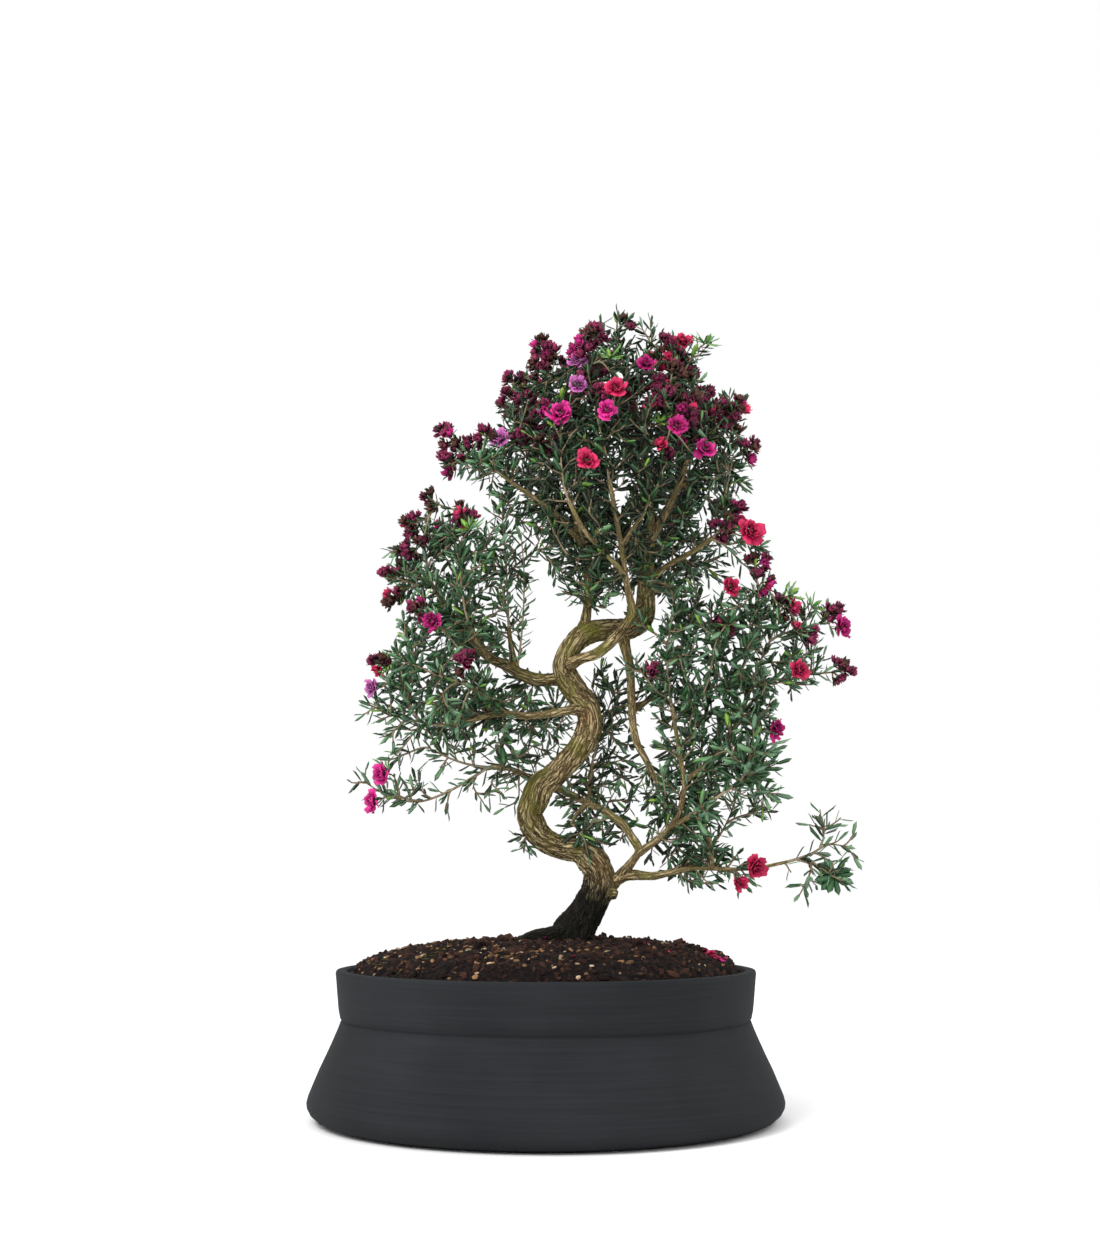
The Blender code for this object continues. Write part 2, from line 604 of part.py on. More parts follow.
def best_facet(skin, facets, target):
    """The free facet that faces a target best."""
    free = [f for f in facets if f in skin.facets]
    return max(free, key=lambda f: skin.outward(f).dot((target - skin.middle(f)).normalized()))


def arc_to(start, way, end, arrive, pieces, bow=0.4):
    """Places along an arc that leaves one way and arrives another."""
    reach = (end - start).length * bow
    a, b = start + way * reach, end - arrive * reach
    places = []
    for k in range(pieces + 1):
        t = k / pieces
        u = 1 - t
        places.append(start * u ** 3 + a * 3 * u * u * t + b * 3 * u * t * t + end * t ** 3)
    return places


def side_route(skin, node, end, arrive, step, bow):
    """The facet of a node that a side shoot leaves from, and the shoot's places."""
    facet = best_facet(skin, node[2], end)
    start = skin.middle(facet)
    way = (skin.outward(facet) + node[1] * 0.5).normalized()
    pieces = max(2, round((end - start).length / step))
    return facet, arc_to(start, way, end, arrive, pieces, bow)


def crowding(places):
    """How much a route pushes into what is already there, past its own root."""
    start, end = places[0], places[-1]
    spots = [p for p in smooth_path(places, 4.0) if (p - start).length > 4.5 and (p - end).length > 3.0]
    return sum(max(0.0, 1.0 - taken.room(p, SHOOT_RADIUS)) for p in spots)


def branch_off(skin, nodes, end, arrive, step, radii, near=None, with_nodes=True, crown=None):
    """Raises a side shoot, and what crowns it, by the clearest short route that crosses nothing.
    Returns the node that it leaves and its own nodes, or None."""
    routes = []
    for node in nodes:
        for bow in BOWS:
            facet, places = side_route(skin, node, end, arrive, step, bow)
            far = (end - node[0]).length if near is None else 3 * (near - node[0]).length
            turn = 1 - (places[1] - places[0]).normalized().dot((end - node[0]).normalized())
            routes.append((far + 20 * turn + 25 * crowding(places), node, facet, places))

    for _, node, facet, places in sorted(routes, key=lambda route: route[0]):
        def grow():
            del skin.facets[facet]
            made, tip = grow_shoot(skin, facet, places, arrive, *radii, with_nodes)
            if crown:
                del skin.facets[tip]
                crown(tip)
            return node, made
        done = skin.attempt(grow)
        if done:
            return done
    return None


def note_shoot(start, nodes, radius, owner):
    places = [start] + [node[0] for node in nodes]
    for low, high in zip(places, places[1:]):
        taken.add_line(low, high, radius, owner)


# Leaves

def leaf_balls(root, way, length):
    return [(root + way * length * share, size) for share, size in LEAF_BALLS]


def raise_leaf(skin, facet, along, way, length):
    """A keeled, pointed leaf raised from one facet of a node."""
    root = skin.middle(facet)
    wide = along.cross(way).normalized()
    middle = root + way * length * LEAF_WIDEST_AT
    tip = root + way * length - along * length * 0.06
    corners = [skin.points[i] for i in facet]
    heights = [(c - root).dot(along) for c in corners]
    ridge = max(range(3), key=lambda i: abs(heights[i] - sum(heights) / 3))
    left, right = facet[(ridge + 2) % 3], facet[(ridge + 1) % 3]
    sign = 1 if (skin.points[right] - skin.points[left]).dot(wide) > 0 else -1
    del skin.facets[facet]
    first = len(skin.points)
    left_wing, right_wing, point = first, first + 1, first + 2
    skin.points += [middle - wide * sign * LEAF_HALF_WIDTH, middle + wide * sign * LEAF_HALF_WIDTH, tip]
    top = facet[ridge]
    skin.put([
        (right, left, right_wing), (left, left_wing, right_wing), (left_wing, point, right_wing),
        (left, top, left_wing), (top, point, left_wing), (top, right, right_wing), (top, right_wing, point),
    ])
    return tip


def dress(skin, nodes, owner):
    """Leaves round every node, each where its own space is free."""
    for index, (here, along, facets) in enumerate(nodes):
        for facet in facets[index % 2::2]:
            if facet not in skin.facets:
                continue
            out = across(along, skin.middle(facet) - here)
            tilt = math.radians(rng.uniform(*LEAF_TILT))
            swing = along.cross(out) * rng.uniform(-0.25, 0.25)
            way = (along * math.cos(tilt) + (out + swing) * math.sin(tilt)).normalized()
            length = LEAF_LENGTH * rng.uniform(0.88, 1.12)
            balls = leaf_balls(skin.middle(facet), way, length)
            if min(taken.room(c, r) for c, r in balls) < CLEARANCE:
                continue
            if skin.attempt(lambda: raise_leaf(skin, facet, along, way, length)):
                for centre, radius in balls:
                    taken.add(centre, radius, owner)


# Sprays

def tip_of(limb):
    line = TRUNK if limb == "trunk" else LIMBS[limb]
    end, before = Vector(line[-1][:3]), Vector(line[-2][:3])
    way = (end - before).normalized()
    return end + way * GAP, way


def facing(place):
    """The way that a flower at this place looks: out of the crown and up."""
    out = place - CROWN_HEART
    return (Vector((out.x * 0.8, out.y * 1.6, out.z * 0.5 + 25))).normalized()


def head_foot(kind, place):
    return place - facing(place) * HEAD_REACH[kind] * 0.5


def seat_of(bloom):
    """Where a flowering twig stands: on the tip of its bare limb, or else behind and below its heads,
    at the roomiest of a few places."""
    carrier = BLOOMS[bloom][0]
    if carrier not in SPRAYS:
        return tip_of(carrier)
    heads = HEADS_AT[bloom]
    feet = [head_foot(kind, place) for kind, place in heads]
    middle = sum(feet, Vector()) / len(feet)
    spread = max((foot - middle).length for foot in feet)
    way = sum((facing(place) for _, place in heads), Vector()).normalized()
    side = across(way, Vector((0, 0, 1)))
    other = way.cross(side)
    choices = []
    for tilt in (0.0, 0.3, 0.6):
        for k in range(8 if tilt else 1):
            lean = side * math.cos(k * math.pi / 4) + other * math.sin(k * math.pi / 4)
            leaning = (way + lean * tilt).normalized()
            for depth in (0.35, 0.6):
                seat = middle - leaning * (STALK_LENGTH + depth * spread)
                route = [seat.lerp(middle, t) for t in (0, 0.35, 0.7)] + [seat - leaning * 5]
                free = min(taken.room(spot, STALK_RADIUS) for spot in route)
                choices.append((min(free, SEAT_ROOM) - tilt * 0.8 - depth * 0.2, seat, leaning))
    best = max(choices, key=lambda choice: choice[0])
    return best[1], best[2]


def in_crown(place):
    """Whether a place lies inside one of the crown's masses."""
    for centre, halves in CROWN_MASSES:
        shares = [(place[k] - centre[k]) / halves[k] for k in range(3)]
        if sum(share * share for share in shares) < 1:
            return True
    return False


def free_tip(node):
    """The best of a few random ends for a free side shoot: the one with most room round it."""
    here, along, _ = node
    ends = []
    for _ in range(FREE_SHOOT_TRIES):
        spin = Vector([rng.uniform(-1, 1) for _ in range(3)])
        way = (across(along, spin) + along * 0.7 + Vector((0, 0, 0.3))).normalized()
        end = here + way * FREE_SHOOT_LENGTH
        if in_crown(end):
            ends.append(end)
    if not ends:
        return None
    return max(ends, key=lambda e: min(taken.room(e, 1.5), taken.room(here.lerp(e, 0.6), 1.5)))


def shoot_clear(start, end, owner):
    spots = [start.lerp(end, t) for t in (0.3, 0.5, 0.7, 0.85, 1.0)]
    return all(taken.room(spot, SHOOT_RADIUS, (owner,)) > 1.0 for spot in spots)


class Spray:
    def __init__(self, name):
        self.name = name
        self.owner = "spray_" + name
        self.skin = Skin()
        SKINS.append(self.skin)
        limb, points = SPRAYS[name]
        start, way = tip_of(limb)
        self.start = start
        places = smooth_path([start] + [Vector(p) for p in points], NODE_STEP)
        base = self.skin.round_ring(start, way, Vector((1, 0, 0)), SHOOT_RADIUS)
        self.skin.close(base[::-1])
        arrive = tangents(places)[-1]
        self.nodes, _ = grow_shoot(self.skin, base, places, arrive, SHOOT_RADIUS, TIP_RADIUS)
        self.all_nodes = list(self.nodes)
        note_shoot(start, self.nodes, SHOOT_RADIUS, self.owner)

    def branch(self, end, arrive, near=None):
        radii = (SHOOT_RADIUS * 0.85, TIP_RADIUS)
        done = branch_off(self.skin, self.nodes, end, arrive, NODE_STEP, radii, near)
        if done:
            node, made = done
            self.all_nodes += made
            note_shoot(node[0], made, SHOOT_RADIUS, self.owner)
        return done

    def planned_shoots(self):
        for near, end in SIDE_SHOOTS.get(self.name, []):
            near, end = Vector(near), Vector(end)
            self.branch(end, ((end - near).normalized() + Vector((0, 0, 0.3))).normalized(), near)

    def bloom_shoots(self):
        for bloom, (carrier, _) in BLOOMS.items():
            if carrier != self.name:
                continue
            seat, way = SEATS[bloom]
            if not self.branch(seat - way * (GAP + NODE_HEIGHT / 2), way):
                raise ValueError(f"no clear shoot to the seat of {bloom}")

    def free_shoot(self):
        """One more side shoot, into whatever room there is."""
        node = self.nodes[len(self.nodes) // 3]
        end = free_tip(node)
        if end and shoot_clear(node[0], end, self.owner):
            self.branch(end, (end - node[0]).normalized(), node[0])

    def finish(self, look):
        dress(self.skin, self.all_nodes, self.owner)
        return self.skin.as_solid(self.owner, look)


# Flowers

def widen(skin, ring, centre, along, radius, count):
    """Joins a three-point ring to a wider ring with more points."""
    near = skin.points[ring[0]] - skin.middle(ring)
    wide = skin.round_ring(centre, along, near, radius, count)
    faces = band(len(ring), count, 0, len(ring))
    both = ring + wide
    skin.put([tuple(both[i] for i in face) for face in faces])
    return wide


def raise_petal(skin, pair, along, reach, half_width, lift):
    """A broad petal raised from the two triangles on one side of a flower's cup."""
    (a0, b0, b1), (_, _, a1) = pair
    for facet in pair:
        del skin.facets[facet]
    base = (a0, b0, b1, a1)
    root = skin.middle(base)
    wide = (skin.points[b0] - skin.points[a0]).normalized()
    out = wide.cross(along).normalized()
    way = (out + along * lift).normalized()
    up = wide.cross(way).normalized() * -1
    if up.dot(along) < 0:
        up = up * -1
    thick = PETAL_THICKNESS / 2
    centre = root + way * reach * 0.6
    ring = skin.ring([centre - wide * half_width - up * thick, centre + wide * half_width - up * thick,
                      centre + wide * half_width + up * thick, centre - wide * half_width + up * thick])
    skin.wall(base, ring)
    centre = root + way * reach + along * reach * 0.1
    edge = skin.ring([centre - wide * half_width * 0.5, centre + wide * half_width * 0.5])
    left, right = edge
    skin.put([
        (ring[0], ring[1], right), (ring[0], right, left), (ring[1], ring[2], right),
        (ring[2], ring[3], left), (ring[2], left, right), (ring[3], ring[0], left),
    ])


def raise_point(skin, facet, way, reach):
    """A small pointed petal or sepal raised from one facet."""
    root = skin.middle(facet)
    del skin.facets[facet]
    skin.cone(facet, root + way * reach)


def open_head(skin, ring, foot, along):
    """A double flower: broad petals round a cup, and upright ones between them on its rim."""
    (cup_height, cup_radius), (lip_height, lip_radius), (rim_height, rim_radius) = CUP
    cup = widen(skin, ring, foot + along * cup_height, along, cup_radius, PETALS)
    lip_centre = foot + along * lip_height
    lip = skin.round_ring(lip_centre, along, skin.points[cup[0]] - foot, lip_radius, PETALS)
    outer = skin.wall(cup, lip)
    rim_centre = foot + along * rim_height
    between = (skin.points[lip[0]] + skin.points[lip[1]]) / 2 - lip_centre
    rim = skin.round_ring(rim_centre, along, between, rim_radius, PETALS)
    skin.put([(lip[k], lip[(k + 1) % PETALS], rim[k]) for k in range(PETALS)])
    inner = [(lip[(k + 1) % PETALS], rim[(k + 1) % PETALS], rim[k]) for k in range(PETALS)]
    skin.put(inner)
    skin.cone(rim, foot + along * CUP_TOP)
    for k in range(PETALS):
        raise_petal(skin, outer[2 * k:2 * k + 2], along, PETAL_REACH, PETAL_HALF_WIDTH, PETAL_LIFT)
    for facet in inner:
        out = across(along, skin.middle(facet) - rim_centre)
        raise_point(skin, facet, (out + along * 0.9).normalized(), INNER_PETAL_REACH)


def bud_head(skin, ring, foot, along):
    """A round bud or spent head, set with short points."""
    (low_height, low_radius), (high_height, high_radius) = BUD
    low = widen(skin, ring, foot + along * low_height, along, low_radius, PETALS)
    high = skin.round_ring(foot + along * high_height, along, skin.points[low[0]] - foot, high_radius, PETALS)
    sides = skin.wall(low, high)
    skin.cone(high, foot + along * BUD_TOP)
    for facet in sides[::2]:
        out = across(along, skin.middle(facet) - foot)
        raise_point(skin, facet, (out + along * SEPAL_LIFT).normalized(), SEPAL_REACH)


HEADS = {"open": open_head, "bud": bud_head}


def side_head(skin, nodes, kind, place):
    """Another head on its own stalk, leaned a little where it would not pass upright."""
    radii = (STALK_RADIUS * 0.8, TIP_RADIUS)
    side = facing(place).orthogonal().normalized()
    other = facing(place).cross(side)
    leans = [Vector()] + [(side * math.cos(k * math.pi / 4) + other * math.sin(k * math.pi / 4)) * lean
                          for lean in (0.4, 0.8, 1.2) for k in range(8)]
    for lean in leans:
        arrive = (facing(place) + lean).normalized()
        foot = place - arrive * HEAD_REACH[kind] * 0.5
        step = max(9.0, (foot - nodes[0][0]).length / 2)

        def crown(tip):
            HEADS[kind](skin, tip, foot, arrive)
        forked = (foot - nodes[0][0]).length > FORKED_STALK
        done = branch_off(skin, nodes, foot - arrive, arrive, step, radii, None, forked, crown)
        if done:
            return done
    raise ValueError(f"no clear stalk to the head at {tuple(place)}")


def note_heads():
    for name, heads in HEADS_AT.items():
        for kind, place in heads:
            taken.add(place, HEAD_REACH[kind] - HEAD_GAP, "bloom_" + name)


def build_bloom(name, look):
    """A flowering twig: a stalk to the first head, and side stalks to the others."""
    skin = Skin()
    SKINS.append(skin)
    owner = "bloom_" + name
    seat, way = SEATS[name] = seat_of(name)
    heads = sorted(HEADS_AT[name], key=lambda head: -(head[1] - seat).normalized().dot(way))
    kind, place = heads[0]
    foot = head_foot(kind, place)
    base = skin.round_ring(seat, way, Vector((1, 0, 0)), STALK_RADIUS)
    skin.close(base[::-1])
    arrive = facing(place)
    pieces = max(2, min(3, round((foot - seat).length / 8)))
    route = arc_to(seat, way, foot - arrive * 1.5, arrive, pieces)
    nodes, end = grow_shoot(skin, base, route, arrive, STALK_RADIUS, STALK_RADIUS)
    del skin.facets[end]
    HEADS[kind](skin, end, foot, arrive)
    note_shoot(seat, nodes, STALK_RADIUS, owner)
    for other_kind, other in heads[1:]:
        start, stalk = side_head(skin, nodes, other_kind, other)
        nodes += stalk[:-1]
        note_shoot(start[0], stalk, STALK_RADIUS, owner)
    return skin.as_solid(owner, look)


def settled_heads():
    """The heads by bloom, nudged apart where they would push into each other."""
    heads = [[name, kind, Vector(place)] for name, (_, rows) in BLOOMS.items() for kind, *place in rows]
    for _ in range(40):
        for i, (_, kind, place) in enumerate(heads):
            for _, other_kind, other in heads[i + 1:]:
                apart = HEAD_REACH[kind] + HEAD_REACH[other_kind] + HEAD_GAP
                gap = place - other
                if gap.length < apart:
                    push = gap.normalized() * (apart - gap.length) * 0.5
                    place += push
                    other -= push
    return {name: [(kind, place) for owner, kind, place in heads if owner == name] for name in BLOOMS}


HEADS_AT = settled_heads()
SEATS = {}


def build_tree():
    bark = material("bark", (0.19, 0.12, 0.06), 0.9)
    green = material("leaf", (0.03, 0.09, 0.05), 0.5)
    magenta = material("petal", (0.55, 0.02, 0.18), 0.6)
    build_wood(bark)
    note_wood()
    note_heads()
    sprays = [Spray(name) for name in SPRAYS]
    for name in BLOOMS:
        build_bloom(name, magenta)
    for spray in sprays:
        spray.bloom_shoots()
    for spray in sprays:
        spray.planned_shoots()
    for spray in sprays:
        spray.free_shoot()
    for spray in sprays:
        spray.finish(green)


def main():
    clear_scene()
    build_pot(material("charcoal_clay", (0.022, 0.026, 0.030), 0.75))
    build_soil(material("soil", (0.022, 0.013, 0.010), 1.0))
    build_tree()


main()
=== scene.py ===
# %% [markdown]
# # A tea tree bonsai, dressed in Blender
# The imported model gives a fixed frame: a pot, its soil, one grown piece of wood, and plain faceted
# solids for each leafy spray and each flowering twig. This script gives every one of them its real
# surface. Nothing moves: all pieces ride on the one body, "root". Layout numbers are in millimetres,
# as a grower would measure, and become metres when a mesh is made.

# %% Load the frame
import math
import random

import bpy
import numpy as np
from mathutils import Matrix, Vector, noise


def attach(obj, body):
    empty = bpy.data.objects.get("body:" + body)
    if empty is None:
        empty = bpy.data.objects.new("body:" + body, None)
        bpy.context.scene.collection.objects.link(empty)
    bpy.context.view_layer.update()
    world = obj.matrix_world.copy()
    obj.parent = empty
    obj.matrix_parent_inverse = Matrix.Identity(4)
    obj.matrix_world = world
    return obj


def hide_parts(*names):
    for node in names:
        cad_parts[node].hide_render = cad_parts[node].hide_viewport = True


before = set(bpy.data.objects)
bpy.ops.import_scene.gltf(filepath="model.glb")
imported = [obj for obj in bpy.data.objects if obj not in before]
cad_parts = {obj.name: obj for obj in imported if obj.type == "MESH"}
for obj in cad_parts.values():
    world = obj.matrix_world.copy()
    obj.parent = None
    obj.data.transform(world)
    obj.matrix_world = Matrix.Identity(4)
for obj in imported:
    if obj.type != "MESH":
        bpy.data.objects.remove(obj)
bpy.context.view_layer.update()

MM = 0.001
# About a full turn in radians, for random turns
TURN = 6.28
rng = random.Random(7)
print("nodes in the frame:", len(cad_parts))

# %% [markdown]
# ## The camera
# The picture was taken from low in front, a little above the soil, with the lens tipped up. A pot rim
# that shows as a shallow curve gives that height. `EYE` is kept, as the leaves are later laid out as
# they are seen from it.

# %% Camera
EYE = np.array([2.5, -1111.0, 156.0])
LENS_UP = 97.51
bpy.context.scene.view_settings.view_transform = "Standard"

bpy.ops.object.camera_add(location=tuple(EYE * MM), rotation=(math.radians(LENS_UP), 0, 0))
camera = bpy.context.object
camera.data.sensor_width = 36.0
camera.data.lens = 50.5
bpy.context.scene.camera = camera
print("camera lens:", camera.data.lens, "mm")

# %% [markdown]
# ## Shader nodes
# Every finish here is a small tree of nodes, so it needs no picture and stays sharp close up. One
# function, `add`, makes every node: its feeds go to the node's inputs (a socket, a number or a hex
# colour), and `to` names the input of the material's own shader that the node leads to.

# %% Materials and nodes
def linear(code):
    """An sRGB hex code as the linear colour that Blender works in."""
    values = [int(code[i:i + 2], 16) / 255 for i in (1, 3, 5)]
    return [v / 12.92 if v <= 0.04045 else ((v + 0.055) / 1.055) ** 2.4 for v in values] + [1.0]


def start_material(name, roughness, gloss=0.5, colour=None):
    """A material and its node tree, with how rough its shader is and how much it shines."""
    made = bpy.data.materials.new(name)
    made.use_nodes = True
    inputs = made.node_tree.nodes["Principled BSDF"].inputs
    inputs["Roughness"].default_value = roughness
    inputs["Specular IOR Level"].default_value = gloss
    if colour:
        inputs["Base Color"].default_value = linear(colour)
    return made, made.node_tree


def add(tree, kind, feeds=None, stops=(), out=0, to=None, **settings):
    """One shader node with its settings, feeds and ramp stops. Gives back one of its outputs."""
    made = tree.nodes.new("ShaderNode" + kind)
    for key, value in settings.items():
        setattr(made, key, value)
    for name, value in (feeds or {}).items():
        if isinstance(value, bpy.types.NodeSocket):
            tree.links.new(value, made.inputs[name])
        else:
            made.inputs[name].default_value = linear(value) if isinstance(value, str) else value
    for index, (place, code) in enumerate(stops):
        points = made.color_ramp.elements
        point = points[index] if index < 2 else points.new(place)
        point.position = place
        point.color = linear(code)
    if to:
        tree.links.new(made.outputs[out], tree.nodes["Principled BSDF"].inputs[to])
    return made.outputs[out]


print("middle grey in linear light:", round(linear("#808080")[0], 3))

# %% [markdown]
# ## The floor and the light
# The light is a broad soft one from the upper left, with white all round, as in a studio tent, so
# shadows stay soft and the background stays white. A second, weaker lamp lifts the far side.

# %% Floor and light
LAMP_AIM = Vector((0, 0, 0.3))
LAMPS = [((-0.9, -1.1, 1.5), 0.9, 26), ((1.3, 0.5, 1.2), 0.8, 7)]
WHITE = "#ffffff"
bpy.ops.mesh.primitive_circle_add(vertices=96, radius=9.0, fill_type="NGON")
floor = bpy.context.object
floor.name = "floor"
floor.data.materials.append(start_material("matte white paper", 0.9, colour=WHITE)[0])

world = bpy.data.worlds.new("studio tent")
world.use_nodes = True
world.node_tree.nodes["Background"].inputs["Color"].default_value = linear(WHITE)
world.node_tree.nodes["Background"].inputs["Strength"].default_value = 1.0
bpy.context.scene.world = world

for place, size, power in LAMPS:
    turn = (LAMP_AIM - Vector(place)).to_track_quat("-Z", "Y").to_euler()
    bpy.ops.object.light_add(type="AREA", location=place, rotation=turn)
    bpy.context.object.data.size = size
    bpy.context.object.data.energy = power
print("lamps:", len(LAMPS))

# %% [markdown]
# ## Helpers for modelling
# An operator acts on all that is selected, in the mode that is open. So each piece starts with
# everything deselected, and a few short helpers switch modes, select and close a mesh. Layouts are
# tables in text: commas part the rows, and spaces part the numbers in a row.

# %% Helpers: modes, selections and tables


def mode(name):
    bpy.ops.object.mode_set(mode=name)


def select(action="SELECT"):
    """In edit mode, selects or deselects all of the mesh."""
    bpy.ops.mesh.select_all(action=action)


def fresh():
    """Leaves edit mode and deselects everything."""
    if bpy.context.object and bpy.context.object.mode == "EDIT":
        mode("OBJECT")
    bpy.ops.object.select_all(action="DESELECT")


def begin(name):
    """Names the object just added, applies its place and opens it for editing, all selected."""
    made = bpy.context.object
    made.name = name
    bpy.ops.object.transform_apply(location=True, rotation=True, scale=True)
    mode("EDIT")
    select()
    return made


def close_up(outwards=True):
    """In edit mode, fills the holes and may turn the faces outwards, then leaves edit mode."""
    select()
    bpy.ops.mesh.fill_holes(sides=0)
    if outwards:
        select()
        bpy.ops.mesh.normals_make_consistent(inside=False)
    mode("OBJECT")


def rows_of(text):
    """Rows of numbers and words, from text."""
    return [[float(word) if word[-1].isdigit() else word for word in row.split()] for row in text.split(",")]


def place_in_frame(piece, nodes):
    """The body a piece rides on, and the CAD nodes that it takes the place of."""
    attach(piece, "root")
    if nodes:
        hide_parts(*nodes)


print("helpers are ready")

# %% [markdown]
# ## The pot's clay
# A matte black stoneware, thrown on a wheel and left unglazed. Throwing leaves faint level lines, and
# the dry clay scatters light evenly, so its roughness is high. The lines are a noise pattern that is
# stretched round the pot and squeezed along its height, about 2 mm apart; the grit is far finer.

# %% Clay material
clay, tree = start_material("unglazed black stoneware", 0.8, 0.06)
place = add(tree, "TexCoord", out="Object")
stretch = add(tree, "Mapping", {"Vector": place, "Scale": (12, 12, 700)})
lines = add(tree, "TexNoise", {"Vector": stretch, "Scale": 1.0, "Detail": 5.0})
clouds = add(tree, "TexNoise", {"Vector": place, "Scale": 16.0, "Detail": 3.0})
mixed = add(tree, "Math", {0: lines, 1: clouds}, operation="ADD")
half = add(tree, "Math", {0: mixed, 1: 0.5}, operation="MULTIPLY")
add(tree, "ValToRGB", {"Fac": half}, [(0.32, "#1f2124"), (0.68, "#2a2c2f"), (0.5, "#252729")],
    to="Base Color")
add(tree, "MapRange", {"Value": lines, "To Min": 0.65, "To Max": 0.9}, to="Roughness")
grit = add(tree, "TexNoise", {"Vector": place, "Scale": 1500.0, "Detail": 2.0})
relief = add(tree, "Math", {0: grit, 1: 0.35, 2: lines}, operation="MULTIPLY_ADD")
add(tree, "Bump", {"Height": relief, "Strength": 0.35, "Distance": 0.0004}, to="Normal")
print("made", clay.name)

# %% [markdown]
# ## The pot
# One thrown wall with a flared skirt, a crease, and an upright collar with a soft rim. On the wheel it
# grows ring by ring, and so it does here: a circle is extruded and scaled from level to level, down
# the outside and up the inside. A bevel would need edges; a few close rings at each turn of the wall
# round it as a potter's sponge does. Three drain holes are cut through the floor.

# %% Pot
def modify(obj, name, kind, **settings):
    """Puts a modifier on the active object and applies it."""
    made = obj.modifiers.new(name, kind)
    for key, value in settings.items():
        setattr(made, key, value)
    bpy.ops.object.modifier_apply(modifier=name)


# Radius and height of each ring
POT_RINGS = rows_of("""
129 0, 135 0.6, 140.4 2.6, 143.8 5.6, 145.5 8.8, 145.8 11.4, 145 14.8, 142.4 21.2, 138.3 31, 134.2 39.6,
  130.8 47.2, 127.8 54.2, 125.9 59.2, 125.2 59.8, 125.3 60.4, 126.3 61.2, 127.3 66, 128.2 75, 129 84,
  129.4 87.6, 129.3 88.8, 128.7 89.7, 127.4 90, 124.4 90, 123.2 89.7, 122.5 88.8, 122 86, 120.6 72,
  118.6 56.5, 127.4 35.5, 136 15, 134.6 10.6, 131 9
""")
DRAINS = 3
DRAIN_OUT, DRAIN_UP, DRAIN_RADIUS, DRILL_LENGTH = 0.06, 0.004, 0.007, 0.03
fresh()
bpy.ops.mesh.primitive_circle_add(vertices=160, radius=POT_RINGS[0][0] * MM)
pot = begin("fired_pot")
bpy.ops.mesh.select_mode(type="EDGE")
select()
for (below, low), (radius, high) in zip(POT_RINGS, POT_RINGS[1:]):
    bpy.ops.mesh.extrude_region_move(TRANSFORM_OT_translate={"value": (0, 0, (high - low) * MM)})
    bpy.ops.transform.resize(value=(radius / below, radius / below, 1), center_override=(0, 0, high * MM))
close_up()
for k in range(DRAINS):
    angle = 2 * math.pi * (k + 0.5) / DRAINS
    spot = (DRAIN_OUT * math.cos(angle), DRAIN_OUT * math.sin(angle), DRAIN_UP)
    fresh()
    bpy.ops.mesh.primitive_cylinder_add(vertices=32, radius=DRAIN_RADIUS, depth=DRILL_LENGTH, location=spot)
    drill = bpy.context.object
    fresh()
    bpy.context.view_layer.objects.active = pot
    pot.select_set(True)
    modify(pot, "drain", "BOOLEAN", object=drill, operation="DIFFERENCE")
    bpy.data.objects.remove(drill)
bpy.ops.object.shade_smooth_by_angle(angle=math.radians(40))
pot.data.materials.append(clay)
place_in_frame(pot, ["pot"])
print("pot faces:", len(pot.data.polygons))

# %% [markdown]
# ## Soil, bark chips and grit: their finishes
# The pot holds a loose mix of composted bark and grit, damp and nearly black. The soil's own finish
# is dark with a crumbly bump. A dry chip is drawn between two shades by its own `tone`, so a few
# materials give thousands of different chips.

# %% Soil and chip materials
soil_mix, tree = start_material("damp composted bark", 0.9, 0.15)
place = add(tree, "TexCoord", out="Object")
crumbs = add(tree, "TexNoise", {"Vector": place, "Scale": 380.0, "Detail": 5.0})
add(tree, "ValToRGB", {"Fac": crumbs}, [(0.38, "#060404"), (0.66, "#251612"), (0.52, "#110a08")],
    to="Base Color")
add(tree, "Bump", {"Height": crumbs, "Strength": 0.8, "Distance": 0.0012}, to="Normal")


def grain_material(name, dark, light):
    """A dry chip: its own tone picks the shade, and fine noise mottles it."""
    made, tree = start_material(name, 0.85, 0.15)
    tone = add(tree, "Attribute", out="Fac", attribute_name="tone")
    place = add(tree, "TexCoord", out="Object")
    fleck = add(tree, "TexNoise", {"Vector": place, "Scale": 700.0, "Detail": 3.0})
    mottled = add(tree, "Math", {0: fleck, 1: tone}, operation="ADD")
    shade = add(tree, "MapRange", {"Value": mottled, "From Min": 0.4, "From Max": 1.5})
    add(tree, "ValToRGB", {"Fac": shade}, [(0.0, dark), (1.0, light)], to="Base Color")
    add(tree, "Bump", {"Height": fleck, "Strength": 0.5, "Distance": 0.0005}, to="Normal")
    return made


bark_chip = grain_material("composted pine bark", "#070404", "#3f281f")
tan_chip = grain_material("dry bark and husk", "#33221a", "#94704e")
pale_grit = grain_material("pale pumice grit", "#6e5b48", "#c4ad8c")
print("made", soil_mix.name, "and three kinds of chip")

# %% [markdown]
# ## The soil
# The soil is heaped round the trunk. The mound is drawn in rings from the pot's wall up to the trunk,
# divided finely, and crumbled by two displacement textures: one for the heaps, one for the crumbs. A
# vertex group keeps them off the edge that meets the pot.

# %% Soil mound
def pick(obj, rule):
    """In edit mode, selects only the points whose place passes a rule."""
    bpy.ops.mesh.select_mode(type="VERT")
    select("DESELECT")
    mode("OBJECT")
    for point in obj.data.vertices:
        point.select = bool(rule(point.co))
    mode("EDIT")


FOOT_X = 16.0
# Share of the way from the trunk to the wall, and height
MOUND = [(1.0, 87.0), (0.96, 92.6), (0.88, 98.6), (0.71, 103.8), (0.48, 106.6), (0.28, 107.8), (0.0, 108.4)]
EDGE, HOLE = 121.4, 10.0
